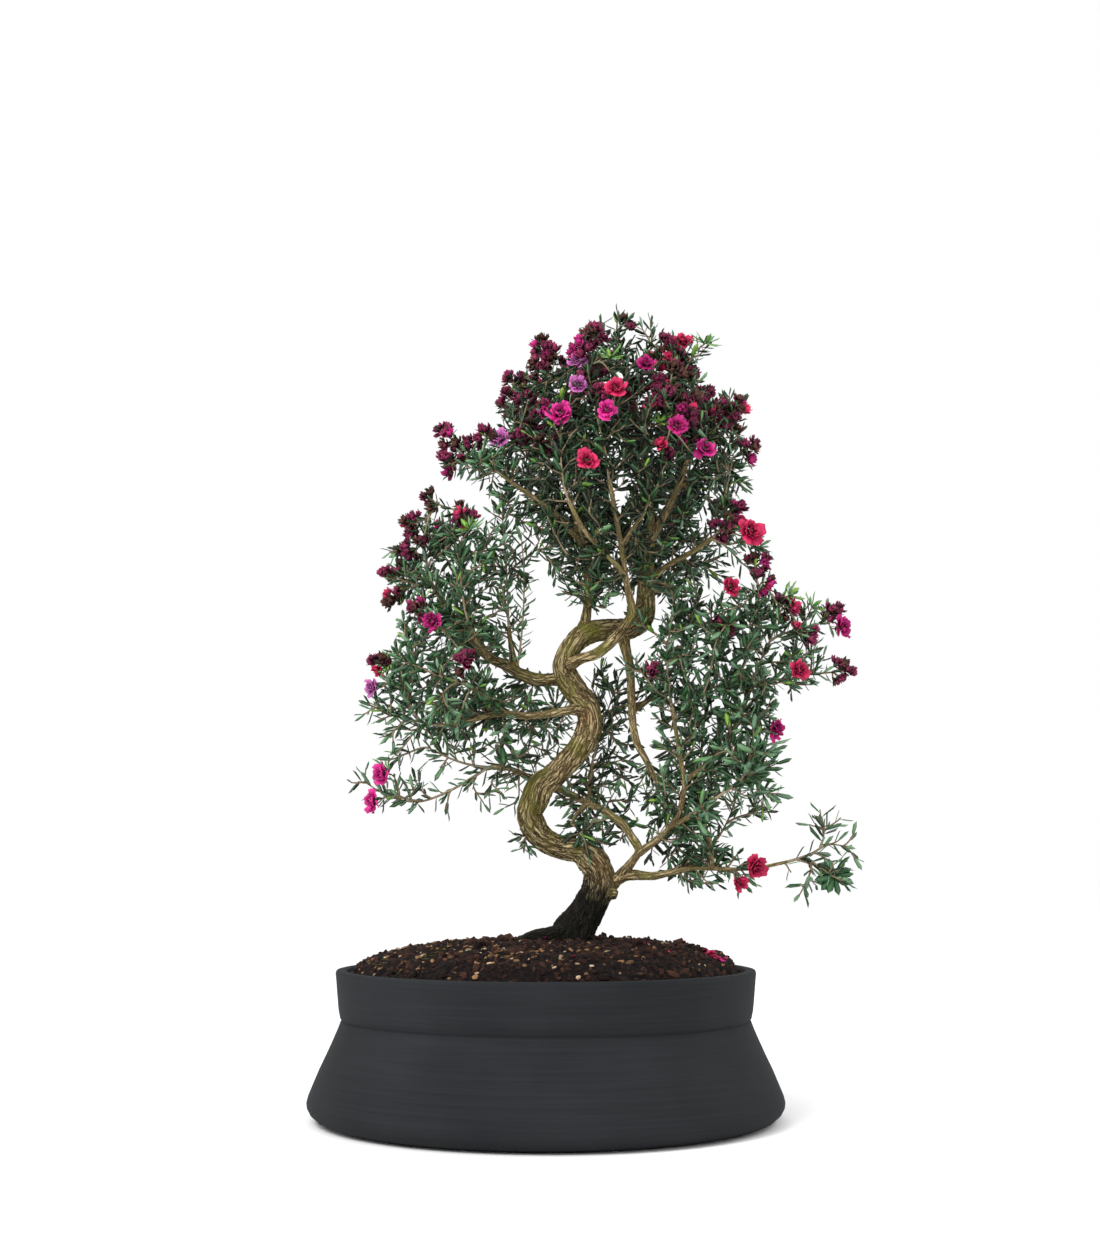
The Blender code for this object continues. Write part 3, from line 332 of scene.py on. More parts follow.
# Centre, radius and height of each ring, from the pot's floor up
SOIL_RINGS = [(0.0, 130.0, 9.4), (0.0, 135.2, 15.0), (0.0, 118.1, 56.5)]
SOIL_RINGS += [((1 - share) * FOOT_X, HOLE + share * (EDGE - HOLE), height) for share, height in MOUND]
# Above which height the mound is divided and crumbled, and within which radius
DIVIDED, SURFACE, INSIDE = 86, 88, 121

fresh()
bpy.ops.mesh.primitive_circle_add(vertices=96, radius=SOIL_RINGS[0][1] * MM,
                                  location=(0, 0, SOIL_RINGS[0][2] * MM), fill_type="NGON")
soil = begin("soil_mound")
bpy.ops.mesh.select_mode(type="FACE")
select()
for (here, wide, low), (centre, radius, high) in zip(SOIL_RINGS, SOIL_RINGS[1:]):
    step = ((centre - here) * MM, 0, (high - low) * MM)
    bpy.ops.mesh.extrude_region_move(TRANSFORM_OT_translate={"value": step})
    bpy.ops.transform.resize(value=(radius / wide, radius / wide, 1),
                             center_override=(centre * MM, 0, high * MM))
close_up()
mode("EDIT")
pick(soil, lambda p: p.z > DIVIDED * MM)
bpy.ops.mesh.select_mode(type="FACE")
bpy.ops.mesh.subdivide(number_cuts=5)
mode("OBJECT")
crumble = soil.vertex_groups.new(name="surface")
loose = [v.index for v in soil.data.vertices if v.co.z > SURFACE * MM and v.co.xy.length < INSIDE * MM]
crumble.add(loose, 1.0, "ADD")
for name, size, strength in (("heaps", 12, 4.6), ("crumbs", 3.6, 2.8)):
    pattern = bpy.data.textures.new(name, "CLOUDS")
    pattern.noise_scale = size * MM
    pattern.noise_depth = 2
    modify(soil, name, "DISPLACE", texture=pattern, texture_coords="LOCAL", strength=strength * MM,
           mid_level=0.62, vertex_group="surface")
bpy.ops.object.shade_smooth_by_angle(angle=math.radians(50))
soil.data.materials.append(soil_mix)
place_in_frame(soil, ["soil"])
print("soil faces:", len(soil.data.polygons))

# %% [markdown]
# ## Chips and grit
# A shape that repeats (a chip, a leaf, a petal) is modelled once, read as points and faces, and laid
# down many times. A `Pile` gathers those copies and turns them into one mesh. Each copy carries two
# numbers for its material: `tone`, a shade of its own, and `mark`, where on the piece a point lies,
# such as how far out along a petal. The chip is a ball of few faces, crumpled and flattened.

# %% Copies in a pile, and one rough chip
def as_shape(obj, mark):
    """A modelled piece as (points, faces, marks), and the object is removed."""
    mesh = obj.data
    points = np.array([tuple(v.co) for v in mesh.vertices])
    faces = [tuple(p.vertices) for p in mesh.polygons]
    marks = np.array([mark(p) for p in points])
    bpy.data.objects.remove(obj)
    return points, faces, marks


def spin_to(way, turn=0.0):
    """A turn that points local Z along a way, after a turn about Z."""
    return Vector(way).to_track_quat("Z", "Y").to_matrix().to_4x4() @ Matrix.Rotation(turn, 4, "Z")


def stand(place, way):
    """Sets something at a place, with its Z along a way and a random turn about it."""
    return Matrix.Translation(place) @ spin_to(way, rng.uniform(0, TURN))


def sized(across, along, high):
    """A change of size along each axis."""
    return Matrix.Diagonal((across, along, high, 1))


def strayed(way, by):
    """A way that strays a little at random."""
    return (way + Vector([rng.uniform(-by, by) for _ in range(3)])).normalized()


class Pile:
    """Copies of small shapes, gathered to become one object."""

    def __init__(self, name):
        self.name = name
        self.points, self.faces, self.looks, self.tones, self.marks = [], [], [], [], []
        self.count = 0

    def lay(self, shape, matrix, look, tone):
        points, faces, marks = shape
        turn = np.array(matrix.to_3x3())
        self.points.append(points @ turn.T + np.array(matrix.translation))
        self.faces += [tuple(i + self.count for i in face) for face in faces]
        self.looks += [look] * len(faces)
        self.tones.append(np.full(len(points), tone))
        self.marks.append(marks)
        self.count += len(points)

    def finish(self, materials, nodes=(), smooth=True):
        """Makes the mesh in metres, with its numbers, materials and place in the frame."""
        mesh = bpy.data.meshes.new(self.name)
        mesh.from_pydata((np.concatenate(self.points) * MM).tolist(), [], self.faces)
        for key, values in (("tone", self.tones), ("mark", self.marks)):
            layer = mesh.attributes.new(key, "FLOAT", "POINT")
            layer.data.foreach_set("value", np.concatenate(values).astype(np.float32))
        for look in materials:
            mesh.materials.append(look)
        mesh.polygons.foreach_set("material_index", self.looks)
        mesh.polygons.foreach_set("use_smooth", [smooth] * len(self.faces))
        made = bpy.data.objects.new(self.name, mesh)
        bpy.context.scene.collection.objects.link(made)
        place_in_frame(made, nodes)


fresh()
bpy.ops.mesh.primitive_ico_sphere_add(subdivisions=1, radius=1.0)
chip = begin("chip")
bpy.ops.transform.vertex_random(offset=0.28, seed=3)
bpy.ops.transform.resize(value=(1.0, 0.7, 0.5))
mode("OBJECT")
CHIP = as_shape(chip, lambda p: 0.0)
print("faces in a chip:", len(CHIP[1]))

# %% [markdown]
# ## Strewing the chips
# A ray dropped onto the mound tells how high the soil is at each place, so every chip is bedded in it
# and none floats. Small dark bark makes up most of it, with tan husks and a little pale grit. Larger
# pale stones lie in front on the left.

# %% Chips on the mound
CHIPS, STONES = 2600, 60
BARK_SHARE, TAN_SHARE = 0.88, 0.965
CHIP_SIZES = ((0.9, 3.0), (0.8, 2.4), (0.7, 2.0))
LARGE_CHIPS, LARGE_BY = 0.1, 1.8
# The left of the mound is drier, with more tan chips
DRY_LEFT_OF, DRIER = -20, 0.08
REACHED, ROOT_CLEAR = 120.5, 13
STONE_WAY, STONE_OUT, STONE_SIZES = (-2.2, 0.7), (60, 118), (1.2, 2.8)


def ground(x, y):
    """The soil's surface at a place in millimetres: its height and its normal."""
    hit, where, way, _ = soil.ray_cast(Vector((x, y, 200)) * MM, Vector((0, 0, -1)))
    return (where.z / MM, way) if hit else (None, None)


def chip_size(size):
    """A chip's size, with a width of its own."""
    return sized(size, size * rng.uniform(0.6, 1), size)


litter = Pile("soil_chips")
for _ in range(CHIPS):
    angle = rng.uniform(0, 2 * math.pi)
    radius = REACHED * math.sqrt(rng.uniform(0.01, 1))
    x, y = radius * math.cos(angle), radius * math.sin(angle)
    height, way = ground(x, y)
    if height is None or math.hypot(x - FOOT_X, y) < ROOT_CLEAR:
        continue
    kind = rng.random()
    dry = DRIER if x < DRY_LEFT_OF else 0.0
    look = 0 if kind < BARK_SHARE - dry else 1 if kind < TAN_SHARE - dry / 3 else 2
    size = [rng.uniform(*limits) for limits in CHIP_SIZES][look]
    if rng.random() < LARGE_CHIPS:
        size *= LARGE_BY
    tilt = strayed(way, 0.7)
    litter.lay(CHIP, stand((x, y, height - size * 0.05), tilt) @ chip_size(size), look, rng.random())
for _ in range(STONES):
    angle, radius = rng.gauss(*STONE_WAY), rng.uniform(*STONE_OUT)
    x, y = radius * math.cos(angle), radius * math.sin(angle)
    height, way = ground(x, y)
    size = rng.uniform(*STONE_SIZES)
    matrix = stand((x, y, height + 0.2), way) @ chip_size(size)
    litter.lay(CHIP, matrix, rng.choice((1, 1, 2)), rng.random())
litter.finish([bark_chip, tan_chip, pale_grit], smooth=False)
print("chips laid:", len(litter.tones))

# %% [markdown]
# ## The bark
# A tea tree's bark peels in long fibrous strips that follow the wood as it twists. So the pattern
# can't hang in space: each point of the wood carries `grain`, its place on the limb as if the limb
# were straight, and all noise is stretched along that. Near the soil the bark is damp and almost
# black; above, it is tan, with olive moss on the upper bends, red-brown where a strip has come off,
# and paler on the young wood.

# %% Bark material
bark, tree = start_material("fibrous tea tree bark", 0.85, 0.15)
grain = add(tree, "Attribute", out="Vector", attribute_name="grain")
fibres = add(tree, "Mapping", {"Vector": grain, "Scale": (1100, 1100, 95)})
strands = add(tree, "TexNoise", {"Vector": fibres, "Scale": 1.0, "Detail": 8.0, "Roughness": 0.7,
                                 "Distortion": 0.7})
waver = add(tree, "TexNoise", {"Vector": grain, "Scale": 160.0, "Detail": 2.0}, out="Color")
wander = add(tree, "VectorMath", {0: waver, 1: (0.005, 0.005, 0.02)}, operation="MULTIPLY")
bent = add(tree, "VectorMath", {0: grain, 1: wander}, operation="ADD")
plates = add(tree, "Mapping", {"Vector": bent, "Scale": (430, 430, 38)})
cracks = add(tree, "TexVoronoi", {"Vector": plates, "Scale": 1.0}, feature="DISTANCE_TO_EDGE")
open_crack = add(tree, "MapRange", {"Value": cracks, "From Max": 0.16})
patches = add(tree, "TexNoise", {"Vector": grain, "Scale": 55.0, "Detail": 3.0})
colour = add(tree, "ValToRGB", {"Fac": strands},
             [(0.37, "#261d13"), (0.65, "#ecd9aa"), (0.455, "#7c6b46"), (0.55, "#b8a57a")])
# The cracks are painted dark: partly the darker inner bark, partly painted shade in the grooves.
colour = add(tree, "Mix", {0: open_crack, 6: "#3b2c1b", 7: colour}, out=2, data_type="RGBA")

place = add(tree, "TexCoord", out="Object")
height = add(tree, "SeparateXYZ", {"Vector": place}, out="Z")
aside = add(tree, "SeparateXYZ", {"Vector": place}, out="X")
damp_at = height
for source, share in ((aside, 0.4), (strands, 0.03), (patches, 0.05)):
    damp_at = add(tree, "Math", {0: source, 1: share, 2: damp_at}, operation="MULTIPLY_ADD")
damp = add(tree, "MapRange", {"Value": damp_at, "From Min": 0.185, "From Max": 0.197, "To Min": 0.95,
                              "To Max": 0.0})
moss_here = add(tree, "MapRange", {"Value": patches, "From Min": 0.48, "From Max": 0.64})
moss_top = add(tree, "MapRange", {"Value": height, "From Min": 0.27, "From Max": 0.30, "To Min": 0.68,
                                  "To Max": 0.85})
mossy = add(tree, "Math", {0: moss_here, 1: moss_top}, operation="MULTIPLY")
bare_spots = add(tree, "TexNoise", {"Vector": grain, "Scale": 38.0, "Detail": 4.0})
bare = add(tree, "MapRange", {"Value": bare_spots, "From Min": 0.5, "From Max": 0.7, "To Max": 0.25})
high_up = add(tree, "MapRange", {"Value": height, "From Min": 0.31, "From Max": 0.38, "To Max": 0.5})
young = add(tree, "Attribute", out="Fac", attribute_name="young")
pale = add(tree, "Math", {0: high_up, 1: young}, operation="MAXIMUM")
for share, code in ((bare, "#8a5a3a"), (mossy, "#6c6a2c"), (pale, "#b2a073")):
    colour = add(tree, "Mix", {0: share, 6: colour, 7: code}, out=2, data_type="RGBA")
add(tree, "Mix", {0: damp, 6: colour, 7: "#05090b"}, out=2, to="Base Color", data_type="RGBA")
ridges = add(tree, "Math", {0: open_crack, 1: 0.6, 2: strands}, operation="MULTIPLY_ADD")
add(tree, "Bump", {"Height": ridges, "Strength": 1.0, "Distance": 0.0016}, to="Normal")
print("made", bark.name)

# %% [markdown]
# ## The lines of the wood
# The trunk swings left and right and lies level near the top before it rises into the crown. Each
# line of the table is a limb, named, as rows of x, y, z and radius from its foot to its tip. A smooth
# curve through a few rows bends as living wood does, without a kink at each row.

# %% Lines of the wood
def table(text):
    """Pairs of a name and its rows, one to a line. A line may run on after a comma."""
    lines = text.strip().replace(",\n", ",").splitlines()
    return [(line.split(":")[0], rows_of(line.split(":")[1])) for line in lines]


LIMBS = dict(table("""
trunk: 16 0 70 15.5, 15.6 0 100 15, 16 0 109.5 13.8, 22 -1 120 11.2, 28 -2 130 10.3, 33 -2 141 10,
  32.5 -1 150 9.6, 27 1 158 9, 20 3 161.8 7.4, 9.5 4 164.5 7.2, -2 3 170 7.6, -8 1 178 8,
  -10 -1 186 8.4, -7 -3 194 8.6, -3 -4 202.5 8.6, 4.3 -4 208.5 7.7, 13.5 -3 217.5 7.5, 21 -1 226.5 7.6,
  26 1 235 8, 27.8 2 245 7.6, 26 3 253 7.7, 20 3 261 7.9, 14 2 270 7.6, 11 0 279 6.8, 14.5 -1 288 6.6,
  21 0 296.5 7, 30 2 301 7, 42 4 302 7, 54 4 303.5 6.9, 61.5 2 310 6.9, 63.5 0 322 5.8, 64 -1 340 4.8,
  66 0 360 3.8, 67 2 385 3.1, 65 4 410 2.5, 61 5 434 2, 56 5 456 1.6
root: 15 -3 113 6, 6 -9 111.3 5.5, -4 -12 110 4.8, -12 -14 108.4 3.6, -17 -14 106 1.6
knob: 33 -3 136 5, 40 -6 136 4.5, 44 -7 135 2.6
front: 14 -2 279 3.6, 22.6 -10 282 3.5, 32 -13 285 3.5, 41.5 -14 292.7 3.4, 49.4 -14 302 3.2,
  54 -15 311 2.8, 52.5 -17 320 2.3, 49.5 -20 334 1.9, 47 -26 351 1.7, 43 -34 371 1.5, 39 -42 390 1.3
front_right: 47 -26 351 1.6, 58 -34 366 1.5, 68 -42 384 1.3
front_left: 49.5 -20 334 1.7, 38 -32 344 1.6, 24 -44 357 1.5, 14 -52 374 1.3
upright: 22 1 298 3.9, 25.5 4 310 3.3, 27 8 325 2.8, 26.7 12 345 2.4, 22 14 368 2, 14 12 392 1.7,
  6 8 416 1.4
back_top: 26.7 12 345 2, 30 28 366 1.8, 31 46 392 1.6, 28 58 420 1.4
back_left_top: 22 14 368 1.8, 8 30 384 1.6, -4 44 402 1.4
left_shoulder: 24 13 358 1.9, 6 6 378 1.8, -12 0 390 1.6, -28 -4 401 1.3
right_top: 66 0 358 2.6, 78 -3 380 2.2, 88 -6 402 1.8, 93 -8 424 1.4
right_edge: 84 -5 393 1.7, 102 4 402 1.5, 114 8 412 1.3
back_right_top: 64 -1 342 2.6, 70 16 354 2.2, 82 34 374 1.8, 92 48 398 1.4
back_right: 63.5 0 322 2.4, 74 24 332 1.9, 88 42 348 1.4
right_mid: 63.8 0 330 2.4, 76 2 342 2, 94 -2 352 1.7, 106 -8 360 1.4
left_high: 13 2 271 4.8, 5 5 270.5 4.3, -6.5 6 270.5 4.1, -16 4 274 3.8, -25 1 279 3.5, -36 0 284 3.1,
  -48 0 296 2.7, -60 0 311 2.3, -71 -2 328 1.7
left_inner: -19 3 275.5 2.2, -22 8 290 1.9, -24 12 304 1.4
left_front: -36 0 284 2.1, -43 -16 292 1.8, -48 -28 302 1.4
left_back: -48 0 296 2.1, -53 18 306 1.8, -58 34 318 1.4
left_mid: 20 0 251 3.4, 13 -6 249.5 2.7, 3 -9 247.6 2.4, -11 -9 246 2.3, -26 -8 247.5 2.2,
  -36 -8 246.6 2.1, -50 -8 243 1.9, -64 -8 240 1.5
left_low_front: -26 -8 247.5 2, -36 -22 254 1.7, -46 -36 262 1.4
left_low_back: -36 -8 246.6 2, -46 12 250 1.8, -58 30 256 1.4
arch: 45 -2 145 3.2, 53 -7 155 2.8, 57.5 -8 163 2.7, 52.6 -4 172 2.6, 48.3 1 178.8 2.5, 42 6 183.6 2.4,
  35 10 188.4 2.3, 28 13 191.5 2.2, 17.6 15 197 2.1, 8 16 201.5 2, -4 16 206 1.9, -13 12 210 1.8,
  -22 6 213.5 1.6, -34 0 215 1.4
arch_twig: 28 13 191.5 1.7, 28 14 204 1.4, 29 14 216 1.3
arch_stub: 26 13.5 192.5 1.6, 20 12 186 1.4, 16 10 179 1.1
hanging: 48 4 301 3.9, 51 1 288 3.2, 53 0 278 2.9, 53.8 -1 263 2.6, 54.3 -1 248.6 2.5, 55 -1 239 2.4,
  57.5 0 229 2.3, 62.5 1 220 2.1, 67 2 211 1.8, 71 2 203 1.4
inner_back: 54.2 -1 250 2.2, 64 14 257 1.8, 76 28 267 1.4
right_stem: 57.5 -8 161 2.2, 70 -11 170 1.9, 77 -12 177 1.8, 82 -13 184 1.7, 84.7 -13 194.5 1.7,
  86 -13 205 1.6, 84 -13 217 1.5, 81 -12 237 1.4, 78.6 -11 252 1.3
right_low: 77 -12 177 1.6, 90 -22 184 1.5, 104 -28 194 1.3
right_lobe: 86 -13 205 1.7, 98 -10 214 1.7, 112 -6 228 1.6, 122 -3 246 1.5, 129 -1 264 1.3
low_right: 38 -1 141 5, 47 -3 146 3.8, 55 -4 147.3 3.3, 66 -5 146.6 2.6, 80 -6 149.5 1.8,
  92 -6 151.5 1.4, 112 -6 151 1.2, 130 -6 151.5 1.1, 150 -5 155.5 1
dark_stem: 103 -6 151.2 1.6, 103 -2 163 1.5, 100 1 176 1.5, 98 4 190 1.4, 97 7 204 1.3
flower_stub: 110 -6 151 1.4, 116 -10 150 1.3
back_low: 80 -6 149.5 1.9, 94 10 156 1.6, 108 24 168 1.4
"""))


def smooth_line(rows, step):
    """Rows along a curve through the given rows, about a step apart."""
    rows = [np.array(row, float) for row in rows]
    found = []
    last = len(rows) - 1
    for i in range(last):
        a, b = rows[i], rows[i + 1]
        before, after = rows[max(i - 1, 0)], rows[min(i + 2, last)]
        pieces = max(1, round(float(np.linalg.norm((b - a)[:3])) / step))
        for k in range(pieces):
            t = k / pieces
            found.append((2 * a + (b - before) * t + (2 * before - 5 * a + 4 * b - after) * t * t
                          + (3 * a - before - 3 * b + after) * t ** 3) / 2)
    found.append(rows[-1])
    return np.array(found)


def centre_line(rows, step):
    """The same, without the radius."""
    return smooth_line([row[:3] for row in rows], step)


def distances(line):
    """How far each row lies along its line."""
    return np.concatenate([[0.0], np.cumsum(np.linalg.norm(np.diff(line[:, :3], axis=0), axis=1))])


print("limbs:", len(LIMBS))

# %% [markdown]
# ## The wood
# A limb is drawn as a curve with a changing radius and a round bevel, turned into a mesh, and then
# furrowed: ridged noise in its straightened coordinates pushes the surface in and out, and a slower
# swell makes it lumpy. Each limb starts a little thicker, where it grows from its parent.

# %% Limbs as bevelled curves, furrowed
THICK_LIMB = 3.0
FLARE = 1.25
# Half the sides round a limb, the step along it, and how deep its bark is
TRUNK_BUILD, THICK_BUILD, THIN_BUILD = (28, 1.3, 0.10), (10, 1.5, 0.09), (5, 2.2, 0.09)
# How far the grain turns round a limb in a millimetre, and how strong the slow swell is
TWIST, SWELL = 0.018, 0.08


def tube(name, lines, half_sides):
    """A mesh of open tubes along lines of (x, y, z, radius) in metres, by a curve with a round bevel."""
    fresh()
    curve = bpy.data.curves.new(name, "CURVE")
    curve.dimensions = "3D"
    curve.bevel_depth = 1.0
    curve.bevel_resolution = half_sides - 2
    for line in lines:
        spline = curve.splines.new("POLY")
        spline.points.add(len(line) - 1)
        for point, row in zip(spline.points, line):
            point.co = (*row[:3], 1)
            point.radius = row[3]
    made = bpy.data.objects.new(name, curve)
    bpy.context.scene.collection.objects.link(made)
    made.select_set(True)
    bpy.context.view_layer.objects.active = made
    bpy.ops.object.convert(target="MESH")
    return bpy.context.object


def furrow(x, y, z):
    """Height of the bark at a place on a straightened limb, in millimetres: strips, and a slow swell."""
    strip = noise.fractal(Vector((x * 0.40, y * 0.40, z * 0.07)), 0.75, 2.3, 4)
    return 1.0 - 2.4 * abs(strip), noise.noise(Vector((x * 0.11, y * 0.11, z * 0.09)))


def furrowed_limb(name, rows, half_sides, step, depth):
    """One limb with its bark raised, its grain noted, and how young its wood is."""
    line = smooth_line(rows, step)
    limb = tube(name, [line * MM], half_sides)
    mesh = limb.data
    sides = 2 * half_sides
    points = np.array([tuple(v.co) for v in mesh.vertices]).reshape(len(line), sides, 3) / MM
    seat = rng.uniform(0, 900)
    grain = np.zeros_like(points)
    for i, (row, far) in enumerate(zip(line, distances(line))):
        for k in range(sides):
            angle = 2 * math.pi * k / sides + far * TWIST
            spot = (row[3] * math.cos(angle) + seat, row[3] * math.sin(angle), far + seat)
            grain[i, k] = spot
            ridge, swell = furrow(*spot)
            out = (points[i, k] - row[:3]) / row[3]
            points[i, k] += out * row[3] * (depth * (ridge - 0.5) + SWELL * swell)
    mesh.vertices.foreach_set("co", (points.reshape(-1, 3) * MM).ravel())
    layer = mesh.attributes.new("grain", "FLOAT_VECTOR", "POINT")
    layer.data.foreach_set("vector", (grain.reshape(-1, 3) * MM).ravel())
    layer = mesh.attributes.new("young", "FLOAT", "POINT")
    youth = np.clip((3.4 - line[:, 3]) / 5, 0, 0.3)
    layer.data.foreach_set("value", np.repeat(youth, sides).astype(np.float32))
    mode("EDIT")
    close_up()
    return limb


wood = []
for name, (foot, *rest) in LIMBS.items():
    if name == "trunk":
        wood.append(furrowed_limb("trunk_wood", [foot] + rest, *TRUNK_BUILD))
        continue
    flared = [[*foot[:3], foot[3] * FLARE]] + rest
    build = THICK_BUILD if foot[3] > THICK_LIMB else THIN_BUILD
    wood.append(furrowed_limb("limb_" + name, flared, *build))
fresh()
for limb in wood:
    limb.select_set(True)
bpy.context.view_layer.objects.active = wood[0]
bpy.ops.object.join()
tree_wood = bpy.context.object
bpy.ops.object.shade_smooth()
tree_wood.data.materials.append(bark)
place_in_frame(tree_wood, ["trunk"])
print("wood faces:", len(tree_wood.data.polygons))

# %% [markdown]
# ## Leaves and shoots: their finishes
# The leaves are narrow, hard and dark blue-green, paler down the midrib, with a satin wax that catches
# the sky. Young ones near the tips are brighter. Each leaf's own `tone` picks its shade, and `mark`
# is 0 on the midrib and 1 at the edge. The shoots are darker at the tips and paler where old.

# %% Leaf and shoot materials
leaf_green, tree = start_material("waxy tea tree leaf", 0.38, 0.35)
tone = add(tree, "Attribute", out="Fac", attribute_name="tone")
across = add(tree, "Attribute", out="Fac", attribute_name="mark")
tint = add(tree, "ValToRGB", {"Fac": tone}, [(0.0, "#0b160c"), (1.0, "#86ab3e"), (0.35, "#17361a"),
                                             (0.65, "#2c5c34"), (0.82, "#6f9178"), (0.93, "#5a9136")])
rib = add(tree, "MapRange", {"Value": across, "From Max": 0.5, "To Min": 0.16, "To Max": 0.0})
add(tree, "Mix", {0: rib, 6: tint, 7: "#8fa07a"}, out=2, to="Base Color", data_type="RGBA")

shoot_skin, tree = start_material("young tea tree twig", 0.7)
age = add(tree, "Attribute", out="Fac", attribute_name="mark")
place = add(tree, "TexCoord", out="Object")
streak = add(tree, "TexNoise", {"Vector": place, "Scale": 500.0, "Detail": 3.0})
tint = add(tree, "ValToRGB", {"Fac": age}, [(0.0, "#7d694d"), (1.0, "#cdbf9f"), (0.45, "#a8977a")])
add(tree, "Mix", {0: streak, 6: tint, 7: "#6f5d45"}, out=2, to="Base Color", data_type="RGBA")
print("made", leaf_green.name, "and", shoot_skin.name)

# %% [markdown]
# ## One leaf
# A ball with four sides and two rings is already a spindle with a point at each end. Flattened, it
# has two edges, a midrib above and a keel below. The midrib is pushed down so that the blade is
# folded like a shallow gutter, its base narrows to a stalk, and the tip is bent back.

# %% Model the leaf
def modelled(name, steps, mark, crumple=0.0, wall=0.0):
    """Works the object just added: each step picks points by a rule, scales them and moves them."""
    obj = begin(name)
    for rule, size, move in steps:
        pick(obj, rule)
        if size:
            bpy.ops.transform.resize(value=size)
        if move:
            bpy.ops.transform.translate(value=move)
    if crumple:
        select()
        bpy.ops.transform.vertex_random(offset=crumple, seed=5)
    mode("OBJECT")
    if wall:
        modify(obj, "wall", "SOLIDIFY", thickness=wall)
    return as_shape(obj, mark)


fresh()
bpy.ops.mesh.primitive_uv_sphere_add(segments=4, ring_count=3, radius=1.0, rotation=(math.radians(90), 0, 0))
LEAF = modelled("leaf", [
    (lambda p: True, (0.165, 0.5, 0.023), (0, 0.5, 0)),
    (lambda p: abs(p.x) < 0.01 and 0.05 < p.y < 0.95, None, (0, 0, -0.035)),
    (lambda p: 0.1 < p.y < 0.4, (0.8, 1, 1), (0, 0.04, 0)),
    (lambda p: p.y > 0.95, None, (0, 0, -0.07)),
], lambda p: min(1.0, abs(p[0]) / 0.1))
print("faces in one leaf:", len(LEAF[1]))

# %% [markdown]
# ## Where the foliage is
# Seen from the front, the crown is three masses with white gaps between them. Each mass is drawn once
# as an outline in the upright plane through the trunk, and bulges to the front and back like a
# pillow: deepest in its middle, thin at its edge. Smaller masses fill the places behind the trunk and
# the arched limb. `seen_at` brings a point at any depth onto the plane, as the camera sees it, so that
# the outline holds for near and far leaves alike. Inside a mass, light shows through where a slow
# noise is low. That noise leans with the shoots, so upright shoots stand apart with slits between them.

# %% Outlines of the foliage
# First row: half its depth and the depth of its middle. Then its outline as x and z.
MASSES = {name: (*rows[0], rows[1:]) for name, rows in table("""
top: 64 0, -2 352, 4 334, 12 320, 24 320, 36 314, 48 316, 60 326, 72 320, 84 328, 96 340, 104 350,
  104 362, 99 376, 106 388, 114 396, 124 410, 125 428, 119 446, 108 456, 98 466, 94 486, 82 494, 70 490,
  62 476, 54 492, 45 498, 36 492, 24 492, 14 476, 6 470, -2 482, -10 470, -22 462, -24 444, -22 428,
  -34 422, -50 422, -62 420, -56 404, -42 400, -36 388, -20 380, -10 366
left: 46 0, -78 376, -62 380, -46 374, -30 368, -22 352, -19 332, -18 306, -20 290, -22 280, -6 272,
  2 262, 2 250, 0 236, -8 222, -18 212, -30 212, -46 220, -64 228, -82 236, -94 244, -108 244, -108 264,
  -102 284, -94 300, -93 318, -88 344, -82 362
right: 42 0, 66 322, 82 338, 98 345, 110 338, 124 328, 142 328, 152 318, 166 310, 174 300, 176 286,
  166 270, 154 256, 144 240, 140 220, 128 206, 116 200, 106 206, 102 186, 96 166, 80 160, 66 166,
  62 180, 60 200, 58 224, 58 240, 62 252, 68 270, 66 296
behind_trunk: 14 26, -34 212, -20 206, -4 208, 8 218, 18 232, 20 250, 10 266, -6 274, -26 274, -34 250
behind_arch: 16 24, 4 172, 12 184, 6 196, 12 208, 24 220, 30 236, 26 256, 26 280, 36 284, 48 274,
  56 250, 58 220, 58 196, 60 178, 52 168, 34 160, 14 162
nook: 14 4, -46 196, -36 212, -18 212, -14 200, -16 188, -28 184, -40 188
low: 16 2, 54 160, 58 174, 66 180, 78 170, 92 170, 112 168, 128 162, 124 142, 108 136, 96 140, 80 143,
  66 150
""")}
EDGE_CLEAR = 2.0
# Below which value the noise clears, how fine it is across and upwards, and how far it leans
CLEARINGS = {"top": (-0.24, 0.05, 0.05, 0.0), "left": (-0.02, 0.085, 0.022, 0.35),
             "right": (-0.06, 0.08, 0.026, -0.2)}


def between(low, value, high):
    return min(max(value, low), high)


def seen_at(point):
    """Where a point shows on the plane through the trunk: (x, z)."""
    share = -EYE[1] / (point[1] - EYE[1])
    return EYE[0] + (point[0] - EYE[0]) * share, EYE[2] + (point[2] - EYE[2]) * share


def put_back(x, z, depth):
    """The point at a depth that shows at (x, z) on the plane through the trunk."""
    share = (depth - EYE[1]) / -EYE[1]
    return np.array([EYE[0] + (x - EYE[0]) * share, depth, EYE[2] + (z - EYE[2]) * share])


def inside(outline, x, z):
    """How deep a place lies inside an outline, below zero outside it."""
    within, nearest = False, 1e9
    for (x0, z0), (x1, z1) in zip(outline, outline[1:] + outline[:1]):
        if (z0 > z) != (z1 > z) and x < x0 + (z - z0) / (z1 - z0) * (x1 - x0):
            within = not within
        along = ((x - x0) * (x1 - x0) + (z - z0) * (z1 - z0)) / ((x1 - x0) ** 2 + (z1 - z0) ** 2)
        along = between(0, along, 1)
        nearest = min(nearest, math.hypot(x - x0 - along * (x1 - x0), z - z0 - along * (z1 - z0)))
    return nearest if within else -nearest


def buried(x, z):
    """How deep a place lies inside the masses."""
    return max(inside(outline, x, z) for _, _, outline in MASSES.values())


def bulge(reach, edge):
    """Half the depth of a mass at a place so far inside its edge."""
    short = 1 - min(edge, reach) / reach
    return reach * math.sqrt(max(0.0, 1 - short * short))


